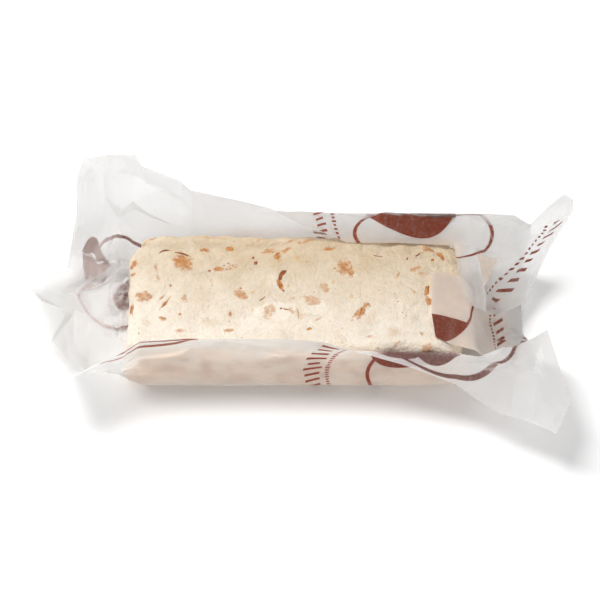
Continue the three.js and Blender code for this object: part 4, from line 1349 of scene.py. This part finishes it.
DARK_SKINS = [
    # the same values
    (-47.2, 17.3, 2.5, 0.5, 26, -0.35), (-40.3, 15.9, 3.7, 0.5, -18, -0.2),
    (-13.8, 14.0, 0.55, 0.55, 0, 0), (-12.9, 11.5, 0.95, 0.85, 60, 0),
    (-5.2, 15.3, 0.8, 0.5, 60, 0.3), (-3.3, 6.2, 3.0, 1.0, 66, -0.2),
    (-30.0, 8.1, 0.55, 0.4, 0, 0), (-10.3, -3.8, 1.7, 0.28, 34, 0.1),
    (32.6, 14.5, 2.3, 0.24, -11, 0.15), (43.5, 13.4, 0.7, 0.3, 60, 0),
    (-18.3, 0.7, 0.6, 0.35, 0, 0), (50.9, 0.8, 1.2, 0.45, 75, 0), (-2.5, -0.3, 0.55, 0.35, 0, 0),
    (47.6, 15.3, 1.5, 0.3, 38, 0.1), (-3.4, -8.3, 0.5, 0.4, 0, 0), (16.4, 9.2, 0.35, 0.25, 0, 0),
    (-24.6, 10.6, 0.5, 0.16, 20, 0), (-23.2, 11.5, 0.7, 0.14, 10, 0),
    (-22.3, 9.0, 0.3, 0.18, 40, 0), (-21.4, 10.4, 0.35, 0.15, 0, 0),
    (-20.2, 9.6, 0.3, 0.15, 60, 0), (-23.6, 8.8, 0.3, 0.2, 0, 0), (38.4, -1.6, 0.3, 0.18, 60, 0),
    (39.3, -3.4, 0.35, 0.15, 80, 0), (39.7, -5.0, 0.3, 0.15, 0, 0), (41.2, -9.6, 0.3, 0.15, 0, 0),
    (42.6, -10.8, 0.3, 0.15, 40, 0), (41.8, -11.8, 0.25, 0.14, 0, 0),
]
print(len(ROASTED_BITS), "roasted bits and", len(DARK_SKINS), "scraps of skin")

# %% Set the bits into the skin
LUMP_DEPTH = 0.35  # how far lumps change a bit's radius, as a share of it
LUMP_RATE = 1.7  # lumps over the radius of a bit
ABOVE_THE_BAR = 60 * MM


def top_height(x, y):
    """Height of the nougat's top at a place, from the shaped mesh."""
    hit, point, _, _ = nougat.ray_cast((x * MM, y * MM, ABOVE_THE_BAR), (0, 0, -1))
    return point[2] / MM if hit else BAR_TOP


def scatter_bits(name, rows, thickness, proud, seed):
    """A lumpy bit for every row, which stands this proud of the skin, joined into one piece."""
    rng = np.random.default_rng(seed)
    made = []
    for x, y, half_length, half_width, turn, bend in rows:
        bpy.ops.mesh.primitive_ico_sphere_add(subdivisions=3, radius=1, location=(0, 0, 0))
        bit = bpy.context.object
        points = get_places(bit.data) * MM
        shift = rng.uniform(0, 50)
        lumps = np.array([noise.noise((p[0] + shift, p[1], p[2])) for p in points * LUMP_RATE])
        points *= (1 + LUMP_DEPTH * lumps)[:, None]
        points *= (half_length, half_width, thickness)
        points[:, 1] += bend * points[:, 0] ** 2 / half_length
        # Turned the other way round, an offset from the middle gives the bit its own turn.
        points[:, :2] = turned_offset(points, 0, 0, -turn)
        points += (x, y, proud - thickness)
        points[:, 2] += [top_height(*point[:2]) for point in points]
        set_places(bit.data, points)
        made.append(bit)
    for bit in made:
        bit.select_set(True)
    bpy.context.view_layer.objects.active = made[0]
    bpy.ops.object.join()
    joined = bpy.context.object
    joined.name = name
    bpy.ops.object.shade_smooth()
    print(name, len(joined.data.polygons), "faces")
    return joined


roasted_bits = scatter_bits("roasted_almond_bits", ROASTED_BITS, thickness=0.3, proud=0.16, seed=5)
dark_skins = scatter_bits("almond_skins", DARK_SKINS, thickness=0.25, proud=0.13, seed=8)

# %% Materials of nuts and skins
MOTTLING = scale_for(1.111)


def nut_material(name, light, dark, roughness):
    """Mottled brown with the faint shine of nut oil, and a little depth."""
    material, tree = new_material(name)
    space = add_node(tree, "ShaderNodeTexCoord").outputs["Object"]
    cloudy = add_node(tree, "ShaderNodeTexNoise", inputs={
        "Vector": space, "Scale": MOTTLING, "Detail": 3.0})
    spread = add_node(tree, "ShaderNodeMapRange", inputs={
        "Value": cloudy.outputs["Fac"], "From Min": 0.35, "From Max": 0.65})
    colour = add_node(tree, "ShaderNodeMix", {"data_type": "RGBA"}, {
        "Factor": spread, 6: linear(light), 7: linear(dark)})
    shader = add_node(tree, "ShaderNodeBsdfPrincipled", inputs={
        "Base Color": colour.outputs[2], "Roughness": roughness, "IOR": 1.47,
        "Subsurface Weight": 0.15, "Subsurface Radius": (1.0, 0.5, 0.25),
        "Subsurface Scale": 1 * MM})
    add_node(tree, "ShaderNodeOutputMaterial", inputs={"Surface": shader})
    return material


# The cut face of a roasted almond is golden with an oily shine; its skin is darker and duller.
roasted_bits.data.materials.append(
    nut_material("roasted almond, cut", "#CD9350", "#9A5A22", roughness=0.45))
dark_skins.data.materials.append(
    nut_material("almond skin, roasted", "#A8612B", "#6E3A18", roughness=0.5))
print("nut materials:", [p.data.materials[0].name for p in (roasted_bits, dark_skins)])


# %% [markdown]
# ## Tie the pieces to the part
# Every finished piece rides on the part's only body and stands in for the plain CAD solid that gave
# its size.

# %% Ride and replace
for piece in (nougat, roasted_bits, dark_skins):
    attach(piece, "root")
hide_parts("nougat_bar")
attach(paper, "root")
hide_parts("paper_wrapper")
print("pieces:", [p.name for p in (nougat, roasted_bits, dark_skins, paper)])
